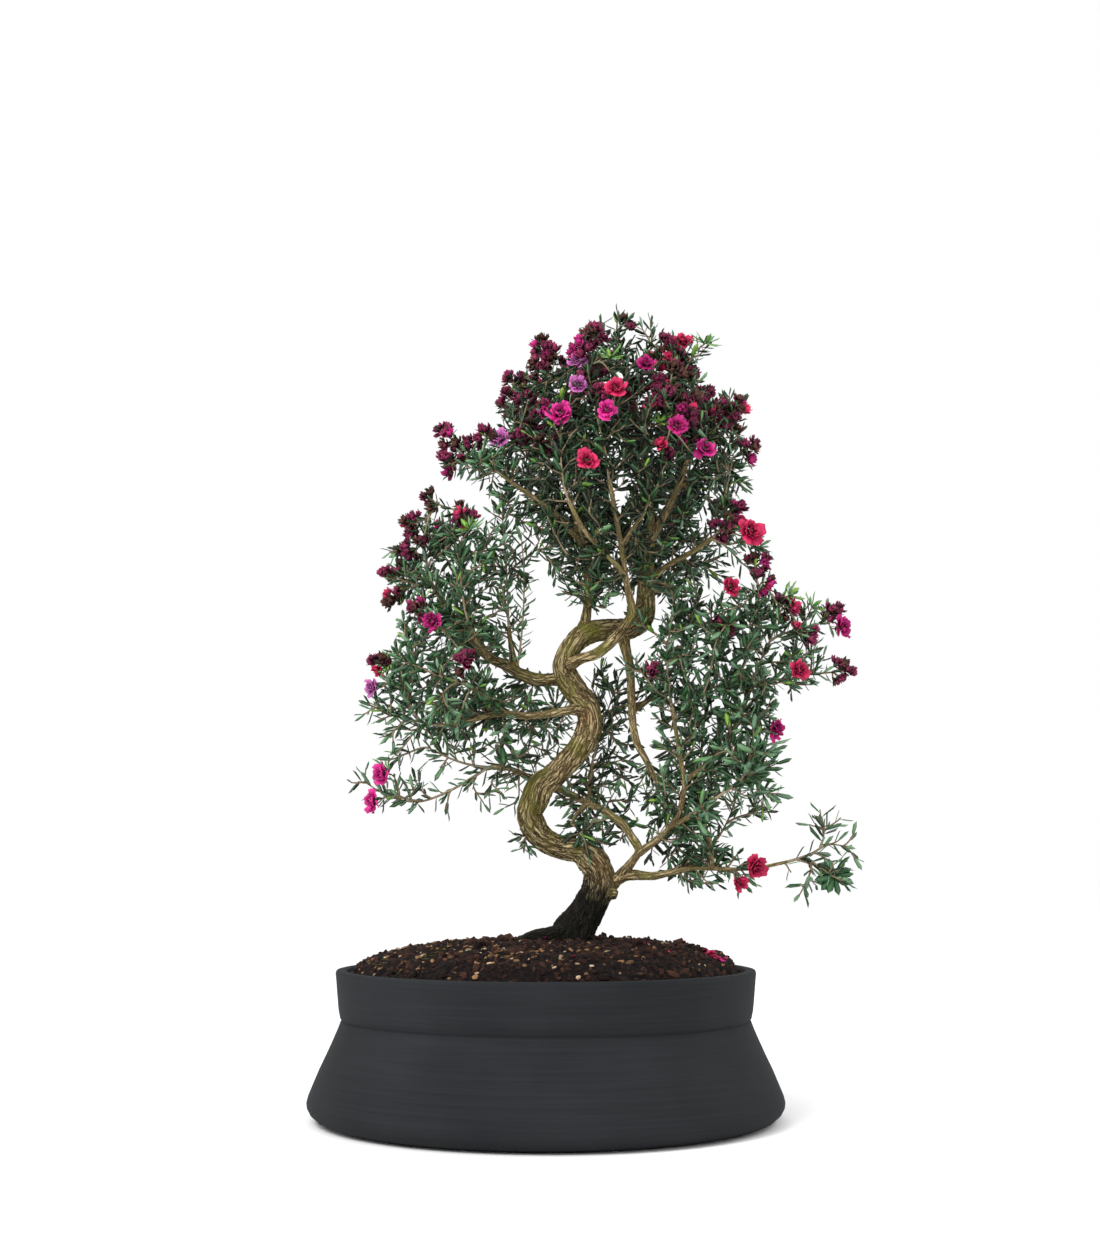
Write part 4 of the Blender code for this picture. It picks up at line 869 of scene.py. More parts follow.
def is_clearing(name, x, z):
    """Whether a mass is left open at a place."""
    if name not in CLEARINGS:
        return False
    limit, across, upwards, lean = CLEARINGS[name]
    return noise.noise(Vector(((x + lean * z) * across, z * upwards, MASSES[name][0]))) < limit


def gaps_to(points, others):
    """Each point's distance to the nearest of the others."""
    return np.sqrt(((points[:, None, :] - others[None, :, :]) ** 2).sum(2)).min(1)


def goals_in(name, apart, tries):
    """Shoot tips spread through a mass, no two closer than a distance."""
    reach, middle, outline = MASSES[name]
    xs, zs = zip(*outline)
    found = np.zeros((0, 3))
    for _ in range(tries):
        x, z = rng.uniform(min(xs), max(xs)), rng.uniform(min(zs), max(zs))
        edge = inside(outline, x, z) - EDGE_CLEAR
        if edge < 0 or is_clearing(name, x, z):
            continue
        depth = middle + bulge(reach, edge) * rng.uniform(0.05, 1) ** 0.5 * rng.choice((-1, 1))
        goal = put_back(x, z, depth)
        if len(found) == 0 or gaps_to(goal[None], found)[0] > apart:
            found = np.vstack([found, goal])
    return found


print("masses of foliage:", len(MASSES))

# %% [markdown]
# ## How a shoot grows
# A side shoot leaves its parent at a narrow angle and bends towards the light. So a new one starts
# at the place that reaches its goal best without bending back, and follows a smooth bow to it.

# %% Shoots
SHOOT_STEP = 2.2
# How much a bent start counts against a place, and how much a shoot keeps its parent's way
BENT_COST, KEEPS_WAY = 0.9, 0.6
BOW = 0.35


def headings(line):
    """Which way a line runs at each of its places."""
    ways = np.gradient(line, axis=0)
    return ways / np.linalg.norm(ways, axis=1)[:, None]


def unit(way):
    """The same way, with a length of one."""
    return way / np.linalg.norm(way)


def best_root(places, ways, goal):
    """The place from which a side shoot would reach a goal best: near, and not bent back."""
    gap = goal - places
    far = np.linalg.norm(gap, axis=1)
    bend = 1 - (gap * ways).sum(1) / np.maximum(far, 0.1)
    return int(np.argmin(far * (1 + BENT_COST * bend ** 2)))


def bowed(start, way, goal, arrive):
    """A line from a place on a shoot to a goal, leaving near the shoot's own way."""
    span = max(float(np.linalg.norm(goal - start)), 0.5)
    side = goal - start + way * span * KEEPS_WAY
    leave = start + unit(side) * span * BOW
    pull = goal - unit(arrive) * span * BOW
    t = np.linspace(0, 1, max(3, int(span / SHOOT_STEP) + 1))[:, None]
    return start * (1 - t) ** 3 + 3 * leave * (1 - t) ** 2 * t + 3 * pull * (1 - t) * t ** 2 + goal * t ** 3


class Shoots:
    """Grown lines: their places, which way each place runs, and which spray it belongs to."""

    def __init__(self, *lines):
        self.lines, self.owners = [], []
        self.places = self.ways = np.zeros((0, 3))
        for line in lines:
            self.add(line)

    def add(self, line, owner=None):
        self.lines.append(line)
        self.places = np.concatenate([self.places, line])
        self.ways = np.concatenate([self.ways, headings(line)])
        self.owners += [owner] * len(line)

    def reach(self, goal, arrive=None):
        """Grows a shoot to a goal from the best place."""
        root = best_root(self.places, self.ways, goal)
        start = self.places[root]
        if arrive is None:
            arrive = (goal - start) / max(np.linalg.norm(goal - start), 0.1) + np.array([0, 0, 0.25])
        line = bowed(start, self.ways[root], goal, np.array(arrive))
        self.add(line)
        return line


print("steps along a shoot:", SHOOT_STEP, "mm")

# %% [markdown]
# ## Sprays
# A spray starts at the tip of a limb. Its main shoot follows a few chosen points. Then the plain CAD
# solid of the same spray is the guide: while any of its corners is far from a shoot, a new side shoot
# grows to it.

# %% Growing by a guide
SPRAYS = dict(table("""
apex: 50 3 476, 46 1 493
top_left: 0 2 438, -4 -4 460
top_front: 36 -46 410, 30 -40 438, 27 -27 464
front_right: 75 -44 404, 77 -38 424
front_left: 10 -52 392, 9 -46 414
back_top: 24 62 446, 20 55 474
back_left_top: -12 50 424, -18 46 452
left_shoulder: -38 -5 407, -46 -2 415
right_top: 91 -10 446, 86 -12 472
right_edge: 120 12 428, 121 14 450
back_right_top: 97 54 424, 93 53 458
back_right: 102 54 362, 116 56 386
right_mid: 114 -7 372, 114 0 396
left_high: -76 -3 344, -78 -4 366
left_inner: -25 12 330, -28 6 375
left_front: -52 -32 322, -54 -24 354
left_back: -62 42 340, -60 44 374
left_mid: -82 -10 243, -96 -12 246, -106 -12 251
left_low_front: -62 -40 267, -86 -36 277
left_low_back: -76 40 264, -98 38 284
low_left: -46 -1 208, -62 1 199, -80 3 193, -98 5 196, -114 6 205
inner_low: 34 18 234, 43 22 262
hanging: 78 3 190, 82 5 170
inner_back: 87 38 284, 92 44 316
right_stem: 76 -13 276, 77 -14 294, 80 -15 318
right_low: 113 -29 200, 124 -28 205, 134 -26 198
right_lobe: 136 -2 282, 143 -5 298, 147 -6 318
dark_stem: 99 10 228, 103 10 262, 107 4 292
low_right: 164 -4 160, 176 -3 166, 187 -2 165
back_low: 120 34 188, 132 38 224
"""))
# Most sprays stand on the limb of their own name
CARRIER = {"apex": "trunk", "top_left": "upright", "top_front": "front", "low_left": "arch",
           "inner_low": "arch_twig"}
REACH = 6.5
MOST_SIDE_SHOOTS = 80


def limb_of(name):
    """The rows of the limb that carries a spray."""
    return LIMBS[CARRIER.get(name, name)]


def corners(node):
    """The corners of a CAD node, in millimetres, each once."""
    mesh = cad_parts[node].data
    found = np.array([tuple(v.co) for v in mesh.vertices]) / MM
    return np.unique(np.round(found, 1), axis=0)


def guided_spray(name):
    """The main shoot of a spray, and the side shoots that its CAD solid asks for."""
    rows = limb_of(name)[-2:]
    main = centre_line(rows + SPRAYS[name], SHOOT_STEP)
    begin_at = int(np.argmin(np.linalg.norm(main - np.array(rows[-1][:3]), axis=1)))
    shoots = Shoots(main[max(begin_at - 1, 0):])
    guide = corners("spray_" + name)
    for _ in range(MOST_SIDE_SHOOTS):
        far = gaps_to(guide, shoots.places)
        if far.max() < REACH:
            break
        shoots.reach(guide[int(np.argmax(far))])
    return shoots


grown = {name: guided_spray(name) for name in SPRAYS}
print("guided shoots:", sum(len(shoots.lines) for shoots in grown.values()))

# %% [markdown]
# ## Filling the crown
# Next, tips spread through the masses are reached one by one, the nearest first, each from the best
# shoot or limb, which is how a crown fills itself. Some stretches of limb show in the photograph, so
# no shoot ends in front of them.

# %% Fill the masses from the nearest shoots and limbs
# How far apart the tips are, and how many are tried
MASS_TIPS = {"top": (9.2, 14000), "left": (10.4, 7000), "right": (10.0, 7000), "behind_trunk": (9.0, 900),
             "behind_arch": (8.6, 2600), "nook": (11.0, 500), "low": (10.0, 900)}
# Stretches of limbs, from x to x, that leaves must not hide
SHOWN_LIMBS = {"left_high": (-44, 20), "left_mid": (-50, 20), "hanging": (40, 60), "arch": (20, 60),
               "front": (10, 60), "low_right": (40, 140), "left_shoulder": (-30, -6), "upright": (8, 24),
               "right_top": (70, 95), "right_stem": (56, 90), "right_mid": (74, 108)}
EXTRA_SHOOTS = table("""
left_inner: -18 4 279, -15 1 305, -14 -2 335, -16 -4 364
inner_low: 16 10 179, 23 4 175, 21 -6 173, 14 -13 171
inner_low: 23 4 175, 31 0 169, 38 -3 166
inner_low: 21 -6 173, 27 -10 177, 31 -12 184
inner_low: 21 -6 173, 24 -13 168, 26 -14 159
right_top: 89 -12 468, 95 -13 479, 102 -13 485
right_top: 93 -13 476, 98 -10 478, 102 -8 483
low_right: 156 -5 157, 168 -6 153, 179 -7 147
""")
STUBS = (("arch_stub", "inner_low"), ("flower_stub", "low_right"))
BARE_TRUNK = 335.0
LIMB_STEP = 3.0
NEAR_ENOUGH, TOO_FAR = 4.5, 45
# How close to a shown limb a leaf may stand, unless it is so far behind
BESIDE, BEHIND = 8, 4
HEART = np.array([40.0, 0.0, 290.0])

net = Shoots()
for name, shoots in grown.items():
    for line in shoots.lines:
        net.add(line, name)
for name in SPRAYS:
    rows = [row for row in limb_of(name) if name != "apex" or row[2] > BARE_TRUNK]
    net.add(centre_line(rows, LIMB_STEP)[1:], name)
for limb, name in STUBS:
    net.add(centre_line(LIMBS[limb], LIMB_STEP)[1:], name)
for name, rows in EXTRA_SHOOTS:
    grown[name].add(smooth_line(rows, SHOOT_STEP))


def shown_line(limb, low, high):
    """A stretch of a limb as the camera sees it, with its depth."""
    places = [place for place in centre_line(LIMBS[limb], LIMB_STEP) if low < place[0] < high]
    return np.array([(*seen_at(place), place[1]) for place in places])


SHOWN = np.concatenate([shown_line(limb, *span) for limb, span in SHOWN_LIMBS.items()])


def hides_wood(place):
    """Whether a leaf here would stand in front of a limb that should show."""
    x, z = seen_at(place)
    gaps = np.hypot(SHOWN[:, 0] - x, SHOWN[:, 1] - z)
    nearest = int(np.argmin(gaps))
    return gaps[nearest] < BESIDE and place[1] < SHOWN[nearest, 2] + BEHIND


filled = 0
for mass, (apart, tries) in MASS_TIPS.items():
    goals = goals_in(mass, apart, tries)
    for goal in goals[np.argsort(gaps_to(goals, net.places))]:
        if hides_wood(goal) or gaps_to(goal[None], net.places)[0] < NEAR_ENOUGH:
            continue
        root = best_root(net.places, net.ways, goal)
        start, owner = net.places[root], net.owners[root]
        if np.linalg.norm(goal - start) > TOO_FAR:
            continue
        arrive = unit(goal - start) + unit(goal - HEART) * 0.3 + np.array([0, 0, 0.3])
        line = bowed(start, net.ways[root], goal, arrive)
        grown[owner].add(line)
        net.add(line, owner)
        filled += 1
print("filling shoots:", filled)

# %% [markdown]
# ## Short shoots on the limbs
# Old limbs of a tea tree carry short side shoots all along. They stand out at random round the limb,
# leaning forward, and only inside the masses of foliage.

# %% Short shoots that clothe the limbs inside the crown
def any_way():
    """Numbers for a way in space, none likelier than another."""
    return [rng.gauss(0, 1) for _ in range(3)]


CLOTHING_STEP, CLOTHING_DEPTH, CLOTHING_LONG = 5.0, 4, (6, 13)
clothing = 0
for name in SPRAYS:
    line = centre_line(limb_of(name), CLOTHING_STEP)
    for place, way in zip(line, headings(line)):
        if buried(*seen_at(place)) < CLOTHING_DEPTH:
            continue
        for _ in range(2):
            out = np.array(any_way())
            out -= way * out.dot(way)
            out = unit(out) + way * 0.7
            goal = place + out * rng.uniform(*CLOTHING_LONG)
            if hides_wood(goal):
                continue
            grown[name].add(bowed(place, unit(out), goal, goal - place + [0, 0, 4]))
            clothing += 1
print("short shoots on the limbs:", clothing)

# %% [markdown]
# ## Setting the leaves
# Leaves stand in a spiral, each turned about 138 degrees from the last. They lean well forward, more
# so at the tip of a shoot, where they are short and bright. A few are larger, and a few are young
# and bright green.

# %% Leaves and twigs
SPIRAL = 2.4
LEAF_LONG, LEAF_WIDE, LEAF_TILT = (8.4, 12.4), (0.62, 0.92), (36, 72)
LARGE_LEAVES, LARGER = 0.05, 1.3
# How far from the tip leaves begin to shorten, by what share, and how much less they lean there
TIP_LONG, TIP_SHORTER, TIP_TILT = 7.0, 0.3, 26
TONE_SPREAD, DARKEST, PALEST, BRIGHT = 0.28, 0.02, 0.86, (0.88, 1.0)
TWIG_SIDES = 4


def leaf_matrix(root, along, out, size, tilt, broad=1.0):
    """Places a leaf: its length runs along Y, and its upper face looks back along the shoot."""
    way = (along * math.cos(tilt) + out * math.sin(tilt)).normalized()
    side = along.cross(way).normalized()
    turn = Matrix((side, way, side.cross(way))).transposed().to_4x4()
    return Matrix.Translation(root) @ turn @ sized(size * broad * rng.uniform(*LEAF_WIDE), size, size)


def dress_line(pile, line, spacing, bare=2.0, youth=0.0, short=1.0, lit_tone=0.42, broad=1.0):
    """Leaves in a spiral along one shoot, shorter and closer to it towards the tip."""
    both = np.hstack([line, headings(line)])
    steps = distances(line)
    total = steps[-1]
    at = bare + rng.uniform(0, spacing)
    turn = rng.uniform(0, TURN)
    laid = 0
    while at < total + 0.1:
        row = [float(np.interp(at, steps, column)) for column in both.T]
        here, along = Vector(row[:3]), Vector(row[3:]).normalized()
        side = along.orthogonal().normalized()
        out = side * math.cos(turn) + along.cross(side) * math.sin(turn)
        near_tip = max(0.0, 1 - (total - at) / TIP_LONG)
        size = rng.uniform(*LEAF_LONG) * (1 - TIP_SHORTER * near_tip) * short
        size *= LARGER if rng.random() < LARGE_LEAVES else 1
        tilt = math.radians(rng.uniform(*LEAF_TILT) - TIP_TILT * near_tip)
        # Each leaf's tone scatters round the tone given for its shoot, which carries the painted light and
        # shade.
        tone = min(rng.gauss(lit_tone, TONE_SPREAD) + 0.2 * near_tip * youth, PALEST)
        if rng.random() < 0.015 + 0.06 * youth * near_tip:
            tone = rng.uniform(*BRIGHT)
        matrix = leaf_matrix(here, along, out, size, tilt, broad)
        pile.lay(LEAF, matrix, LOOK["leaf"], between(DARKEST, tone, 1.0))
        at += spacing * rng.uniform(0.75, 1.25)
        turn += SPIRAL + rng.uniform(-0.3, 0.3)
        laid += 1
    return laid


def shoots_shape(name, shoots, thick, thin):
    """The twigs as tubes that taper along each line, with a mark that is 1 where the wood is old."""
    lines = []
    for index, line in enumerate(shoots.lines):
        low = thick if index == 0 else min(thick, 0.5 + 0.025 * len(line))
        lines.append(np.column_stack([line, np.linspace(low, thin, len(line))]) * MM)
    made = tube(name, lines, TWIG_SIDES // 2)
    mode("EDIT")
    close_up(outwards=False)
    radii = np.concatenate([np.repeat(line[:, 3], TWIG_SIDES) for line in lines]) / MM
    points, faces, _ = as_shape(made, lambda p: 0.0)
    return points / MM, faces, np.clip((radii - thin) / (1.2 - thin), 0, 1)


print("leaves turn by", round(math.degrees(SPIRAL)), "degrees")

# %% [markdown]
# ## Petals
# The flower is double: broad round petals outside, and rings of smaller crumpled ones inside them,
# round a green heart. The open flowers run from hot pink to crimson and lavender; the spent ones dry
# to a dark maroon and stay on the twig. A petal is darker at its claw and paler at its rim, partly its
# own colour and partly painted shade where the petals overlap, and its thin tissue is matt. One petal
# is modelled and serves every ring.

# %% Petal materials
def petal_material(name, claw, blade, rim, brightest=1.15):
    """A petal's colours from its claw to its rim, a little different on each petal."""
    made, tree = start_material(name, 0.65, 0.12)
    out = add(tree, "Attribute", out="Fac", attribute_name="mark")
    tone = add(tree, "Attribute", out="Fac", attribute_name="tone")
    place = add(tree, "TexCoord", out="Object")
    veins = add(tree, "TexNoise", {"Vector": place, "Scale": 900.0, "Detail": 2.0})
    blend = add(tree, "Math", {0: veins, 1: 0.25, 2: out}, operation="MULTIPLY_ADD")
    # The dark claw is partly the petal's own colour, partly painted shade where the petals overlap.
    tint = add(tree, "ValToRGB", {"Fac": blend}, [(0.14, claw), (0.96, rim), (0.58, blade)])
    shade = add(tree, "MapRange", {"Value": tone, "To Min": 0.4, "To Max": brightest})
    add(tree, "HueSaturation", {"Color": tint, "Value": shade}, to="Base Color")
    return made


seed_cup, tree = start_material("dried seed cup", 0.8)
place = add(tree, "TexCoord", out="Object")
grained = add(tree, "TexNoise", {"Vector": place, "Scale": 800.0})
add(tree, "ValToRGB", {"Fac": grained}, [(0.3, "#1f0f0d"), (0.7, "#4a2e22")], to="Base Color")
FINISHES = {
    "twig": shoot_skin, "leaf": leaf_green,
    "heart": start_material("green flower heart", 0.6, colour="#2c3a16")[0], "cup": seed_cup,
    "spent": petal_material("dried maroon petal", "#0f050a", "#371326", "#7e2d4c", 1.45),
    "pink": petal_material("hot pink petal", "#4a0832", "#c8177a", "#dc4096"),
    "magenta": petal_material("magenta petal", "#3c0628", "#a5155f", "#c0307f"),
    "crimson": petal_material("crimson petal", "#420616", "#ae1044", "#d63a66"),
    "lavender": petal_material("lavender petal", "#4a184a", "#a4458f", "#cc76b8"),
    "husk": petal_material("dried brown petal", "#120a08", "#2c1a17", "#5c3c34", 1.3),
}
ALL_FINISHES = list(FINISHES.values())
LOOK = {name: index for index, name in enumerate(FINISHES)}
print("finishes of a flowering twig:", len(FINISHES))

# %% [markdown]
# ## Models of a petal, a seed cup and a dried petal
# A petal starts as a flat grid. Row by row it is widened and lifted, then crumpled and given a
# thickness. A dried petal is smaller and curled, so a coarser grid does. The seed cup is a flat ball.

# %% Model one petal, a seed cup and a dried petal
# Width and lift of a petal's five rows of points
PETAL_ROWS = [(0.24, 0.0), (0.72, 0.03), (1.04, 0.07), (1.06, 0.08), (0.68, 0.14)]


def outward(point):
    """The mark of a petal: 0 at its claw, 1 at its rim."""
    return float(between(0.0, point[1], 1.0))


fresh()
bpy.ops.mesh.primitive_grid_add(x_subdivisions=4, y_subdivisions=4, size=1.0, location=(0, 0.5, 0))
PETAL = modelled("petal", [
    (lambda p, level=row / 4: abs(p.y - level) < 0.01, (width, 1, 1), (0, 0, lift))
    for row, (width, lift) in enumerate(PETAL_ROWS)
] + [
    (lambda p: p.y > 0.95 and abs(p.x) < 0.1, None, (0, 0.07, -0.05)),
    (lambda p: p.y > 0.2 and 0.15 < abs(p.x) < 0.35, None, (0, 0, 0.06)),
    (lambda p: p.y > 0.4 and abs(p.x) > 0.4, None, (0, -0.03, -0.06)),
], outward, crumple=0.025, wall=0.035)

fresh()
bpy.ops.mesh.primitive_uv_sphere_add(segments=6, ring_count=4, radius=1.0)
CUP = modelled("cup", [
    (lambda p: p.z > 0.9, None, (0, 0, -0.4)),
    (lambda p: p.z < -0.9, None, (0, 0, -0.5)),
], lambda p: 0.5)

fresh()
bpy.ops.mesh.primitive_grid_add(x_subdivisions=2, y_subdivisions=2, size=1.0, location=(0, 0.5, 0))
SCRAP = modelled("scrap", [
    (lambda p: p.y < 0.1, (0.3, 1, 1), None),
    (lambda p: p.y > 0.9, (0.7, 1, 1), (0, 0, 0.3)),
    (lambda p: abs(p.x) > 0.3 and p.y > 0.3, None, (0, 0, 0.22)),
], outward, wall=0.07)
print("faces in a petal:", len(PETAL[1]), "in a cup:", len(CUP[1]), "in a dried petal:", len(SCRAP[1]))

# %% [markdown]
# ## Flowers and spent heads
# Each head is put together in its own space, looking up Z with its foot at the origin, and laid down
# with one matrix. Every petal gets a small turn and size of its own, so no two flowers match. A spent
# head sits in a tight bunch of others on the end of its shoot.

# %% Put a head together
# How many petals, the radius and height where the ring stands, their length, tilt and width
OPEN_RINGS = [(6, 1.6, 1.5, 6.0, 8, 1.1), (6, 1.7, 2.0, 4.9, 30, 0.9), (7, 1.6, 2.4, 3.5, 50, 0.85),
              (5, 1.2, 2.7, 2.2, 66, 0.9)]
ROSETTE_LEAVES = 11
SPENT_RINGS = [(6, 1.2, 1.4, 3.9, 18), (6, 0.8, 2.2, 3.4, 50)]
SEPALS, SMALL_LEAVES = (5, 1.4, 0.9, 3.4, 8, 2.2), (2, 1.2, 0.4, 6.5, 38, 0.9)
SPENT_LOOKS, SPENT_WEIGHTS = ("magenta", "crimson", "husk", "spent"), (9, 7, 18, 66)


def ring_of(pile, base, shape, ring, look, tone, wild=18):
    """A ring of petals or sepals."""
    count, radius, height, length, tilt, width = ring
    start = rng.uniform(0, TURN)
    for k in range(count):
        turn = Matrix.Rotation(start + 2 * math.pi * k / count + rng.uniform(-0.2, 0.2), 4, "Z")
        lean = Matrix.Rotation(math.radians(tilt + rng.uniform(-wild, wild)), 4, "X")
        roll = Matrix.Rotation(math.radians(rng.uniform(-28, 28)), 4, "Y")
        size = length * rng.uniform(0.7, 1.12)
        own = sized(size * width * rng.uniform(0.7, 1.1), size, size * rng.uniform(0.8, 2.2))
        place = turn @ Matrix.Translation((0, radius, height)) @ lean @ roll @ own
        pile.lay(shape, base @ place, look, between(0, rng.gauss(tone, 0.25), 1))


def lay_cup(pile, base, height, across, high, look):
    """A seed cup or a green heart, at a height in its head."""
    pile.lay(CUP, base @ Matrix.Translation((0, 0, height)) @ sized(across, across, high), LOOK[look], 0.5)


def lay_open(pile, base, scale, look):
    """An open flower: cup, sepals, rings of petals and a green heart."""
    base = base @ Matrix.Scale(scale, 4)
    lay_cup(pile, base, 0.4, 1.9, 1.8, "cup")
    ring_of(pile, base, LEAF, SEPALS, LOOK["leaf"], 0.3)
    # Each inner ring is toned darker: partly a darker heart, partly painted shade inside the flower's cup.
    for depth, ring in enumerate(OPEN_RINGS):
        ring_of(pile, base, PETAL, ring, look, 0.68 - 0.14 * depth)
    lay_cup(pile, base, 2.5, 1.5, 1.1, "heart")


def lay_spent(pile, base, scale):
    """A spent head: a seed cup with two small leaves and dried petals."""
    base = base @ Matrix.Scale(scale, 4)
    lay_cup(pile, base, 1.2, 1.7, 1.8, "cup")
    tone = rng.uniform(0.1, 0.7)
    look = LOOK[rng.choices(SPENT_LOOKS, SPENT_WEIGHTS)[0]]
    ring_of(pile, base, LEAF, SMALL_LEAVES, LOOK["leaf"], 0.3)
    for ring in SPENT_RINGS:
        ring_of(pile, base, SCRAP, (*ring, 1.0), look, tone, 34)


def lay_bunch(pile, twig, tip, look, count, long):
    """A bunch of spent heads below and round the tip of a shoot."""
    for k in range(count):
        side = Vector(any_way())
        side = (side - look * side.dot(look)).normalized()
        down = long * k / max(count - 1, 1)
        foot = tip - look * (down + 2.0) + side * min(0.8 + down * 0.7, 4.0)
        lean = (look + side * min(0.4 + down * 0.12, 1.1)).normalized()
        if k:
            twig.reach(np.array(foot), np.array(lean))
        lay_spent(pile, stand(foot, lean), rng.uniform(0.8, 1.1))


def lay_rosette(pile, tip, look, tones, broad, sizes, tilts):
    """Leaves spread round the tip of a shoot."""
    for k in range(ROSETTE_LEAVES):
        out = Matrix.Rotation(SPIRAL * k, 3, look) @ look.orthogonal().normalized()
        tilt = math.radians(rng.uniform(*tilts))
        matrix = leaf_matrix(tip, look, out, rng.uniform(*sizes), tilt, broad)
        pile.lay(LEAF, matrix, LOOK["leaf"], rng.uniform(*tones))


print("heads are ready to lay")

# %% [markdown]
# ## Dressing the sprays
# Every shoot gets its leaves: broad deep in the crown, and darker there with painted shade; lighter
# outside, sparse on the two low branches. Some shoots end in a rosette of bright young leaves, and some
# outer ones in a bunch of spent heads.

# %% Dress every spray
SPACING, OPEN_SPACING = 1.9, 3.6
OPEN_SPRAYS = ("low_left", "low_right")
# Inner sprays that stand in the tree's shade get painted shade: their leaves are darker by this much.
SHADED, SHADED_BY = ("inner_low", "inner_back", "hanging"), 0.24
# Painted light and shade: a leaf's tone at the edge of the foliage, and how much darker it is painted
# where the foliage is deep and shade falls. The dense crown gets more painted shade than the sides.
CROWN_PAINTED_SHADE, SIDE_PAINTED_SHADE, DEEP = (0.42, 0.32), (0.6, 0.13), 25
CROWN_ABOVE, CROWN_RIGHT_OF = 330, -20
LEAF_SIZE = {"low_left": 1.08, "low_right": 1.15, "right_low": 1.25, "dark_stem": 1.1}
# Spent bunches stand above this height and within this distance of a mass's edge
SPENT_ABOVE = {"top": (424, 34), "left": (330, 10), "right": (290, 9)}
SPENT_CLEAR = (-50, 110)
SPENT_SHARE = 0.12
# Tips with a rosette of bright young leaves, and a ring of full-grown leaves that looks forward
ROSETTES = rows_of("162 -16 319, 172 -12 312, -99 -14 278, 98 -12 488, 71 -50 427, -100 0 214, -46 -34 352,"
                   "-70 -36 300, 44 -44 470, 60 62 460, -70 44 330, 130 50 300")
YOUNG_LEAVES = ((0.84, 1.0), 1.15, (9.0, 13.0), (38, 96))
STAR, STAR_LOOK = Vector((179, -7, 147)), Vector((0.1, -1, 0.2)).normalized()
STAR_LEAVES = ((0.55, 0.76), 1.6, (11.0, 13.5), (70, 100))
ALL_TIPS = [(name, line[-1]) for name, shoots in grown.items() for line in shoots.lines if len(line) > 3]
YOUNG = [min(ALL_TIPS, key=lambda pair: float(np.linalg.norm(pair[1] - np.array(goal)))) for goal in ROSETTES]
leaf_count = bunch_count = 0
for name, shoots in grown.items():
    pile = Pile("fine_spray_" + name)
    tips = [tip for owner, tip in ALL_TIPS if owner == name]
    highest = max(tip[2] for tip in tips)
    spacing = OPEN_SPACING if name in OPEN_SPRAYS else SPACING
    for index, line in enumerate(shoots.lines):
        # Painted shade: the deeper a shoot lies in the foliage as the camera sees it, the darker its leaves
        # are painted.
        x, z = seen_at(line[len(line) // 2])
        deep = between(0, buried(x, z) / DEEP, 1)
        light, shade = CROWN_PAINTED_SHADE if z > CROWN_ABOVE and x > CROWN_RIGHT_OF else SIDE_PAINTED_SHADE
        lit_tone = light - shade * deep
        lit_tone -= SHADED_BY if name in SHADED else 0.0
        leaf_count += dress_line(pile, line, spacing, 1.2 if index else 5.0, 0.6, LEAF_SIZE.get(name, 1),
                                 lit_tone, 1 + 0.25 * deep)
    if name == "low_right":
        lay_rosette(pile, STAR, STAR_LOOK, *STAR_LEAVES)
    for owner, tip in YOUNG:
        if owner == name:
            look = (Vector(tip - HEART).normalized() + Vector((0, -0.4, 0.3))).normalized()
            lay_rosette(pile, Vector(tip), look, *YOUNG_LEAVES)
    for tip in tips:
        x, z = seen_at(tip)
        mass = max(SPENT_ABOVE, key=lambda mass: inside(MASSES[mass][2], x, z))
        above, near = SPENT_ABOVE[mass]
        in_middle = mass != "top" and SPENT_CLEAR[0] < x < SPENT_CLEAR[1]
        outer = z > above and inside(MASSES[mass][2], x, z) < near and not in_middle
        if (outer and rng.random() < SPENT_SHARE) or (name == "apex" and tip[2] == highest):
            look = Vector(tip - HEART).normalized() + Vector((0, 0, 0.6))
            lay_bunch(pile, shoots, Vector(tip), look.normalized(), rng.choice((2, 3, 4)), 6.0)
            bunch_count += 1
    pile.lay(shoots_shape(name, shoots, 1.0, 0.4), Matrix(), LOOK["twig"], rng.random())
    pile.finish(ALL_FINISHES, ["spray_" + name])

# A sprig of its own at the trunk's lowest bend on the left
sprig = Shoots(smooth_line([(-7, 4, 176), (-12, 0, 172), (-15, -3, 167)], 2.0))
for tip in ((-18, 2, 171), (-12, -8, 162), (-17, -8, 163), (-10, 2, 162)):
    sprig.reach(np.array(tip, float))
pile = Pile("bend_sprig")
for line in sprig.lines:
    leaf_count += dress_line(pile, line, SPACING, 1.0)
pile.lay(shoots_shape("bend", sprig, 0.8, 0.4), Matrix(), LOOK["twig"], 0.5)
pile.finish([shoot_skin, leaf_green])
print("leaves:", leaf_count, "and spent bunches:", bunch_count)

# %% [markdown]
# ## The flowering twigs
# Each line below names a CAD node, the spray or limb that carries it, and the heads on it with their
# places. The heads are nudged apart where they would push into each other, and then each gets a shoot
# of its own from the carrying twig.

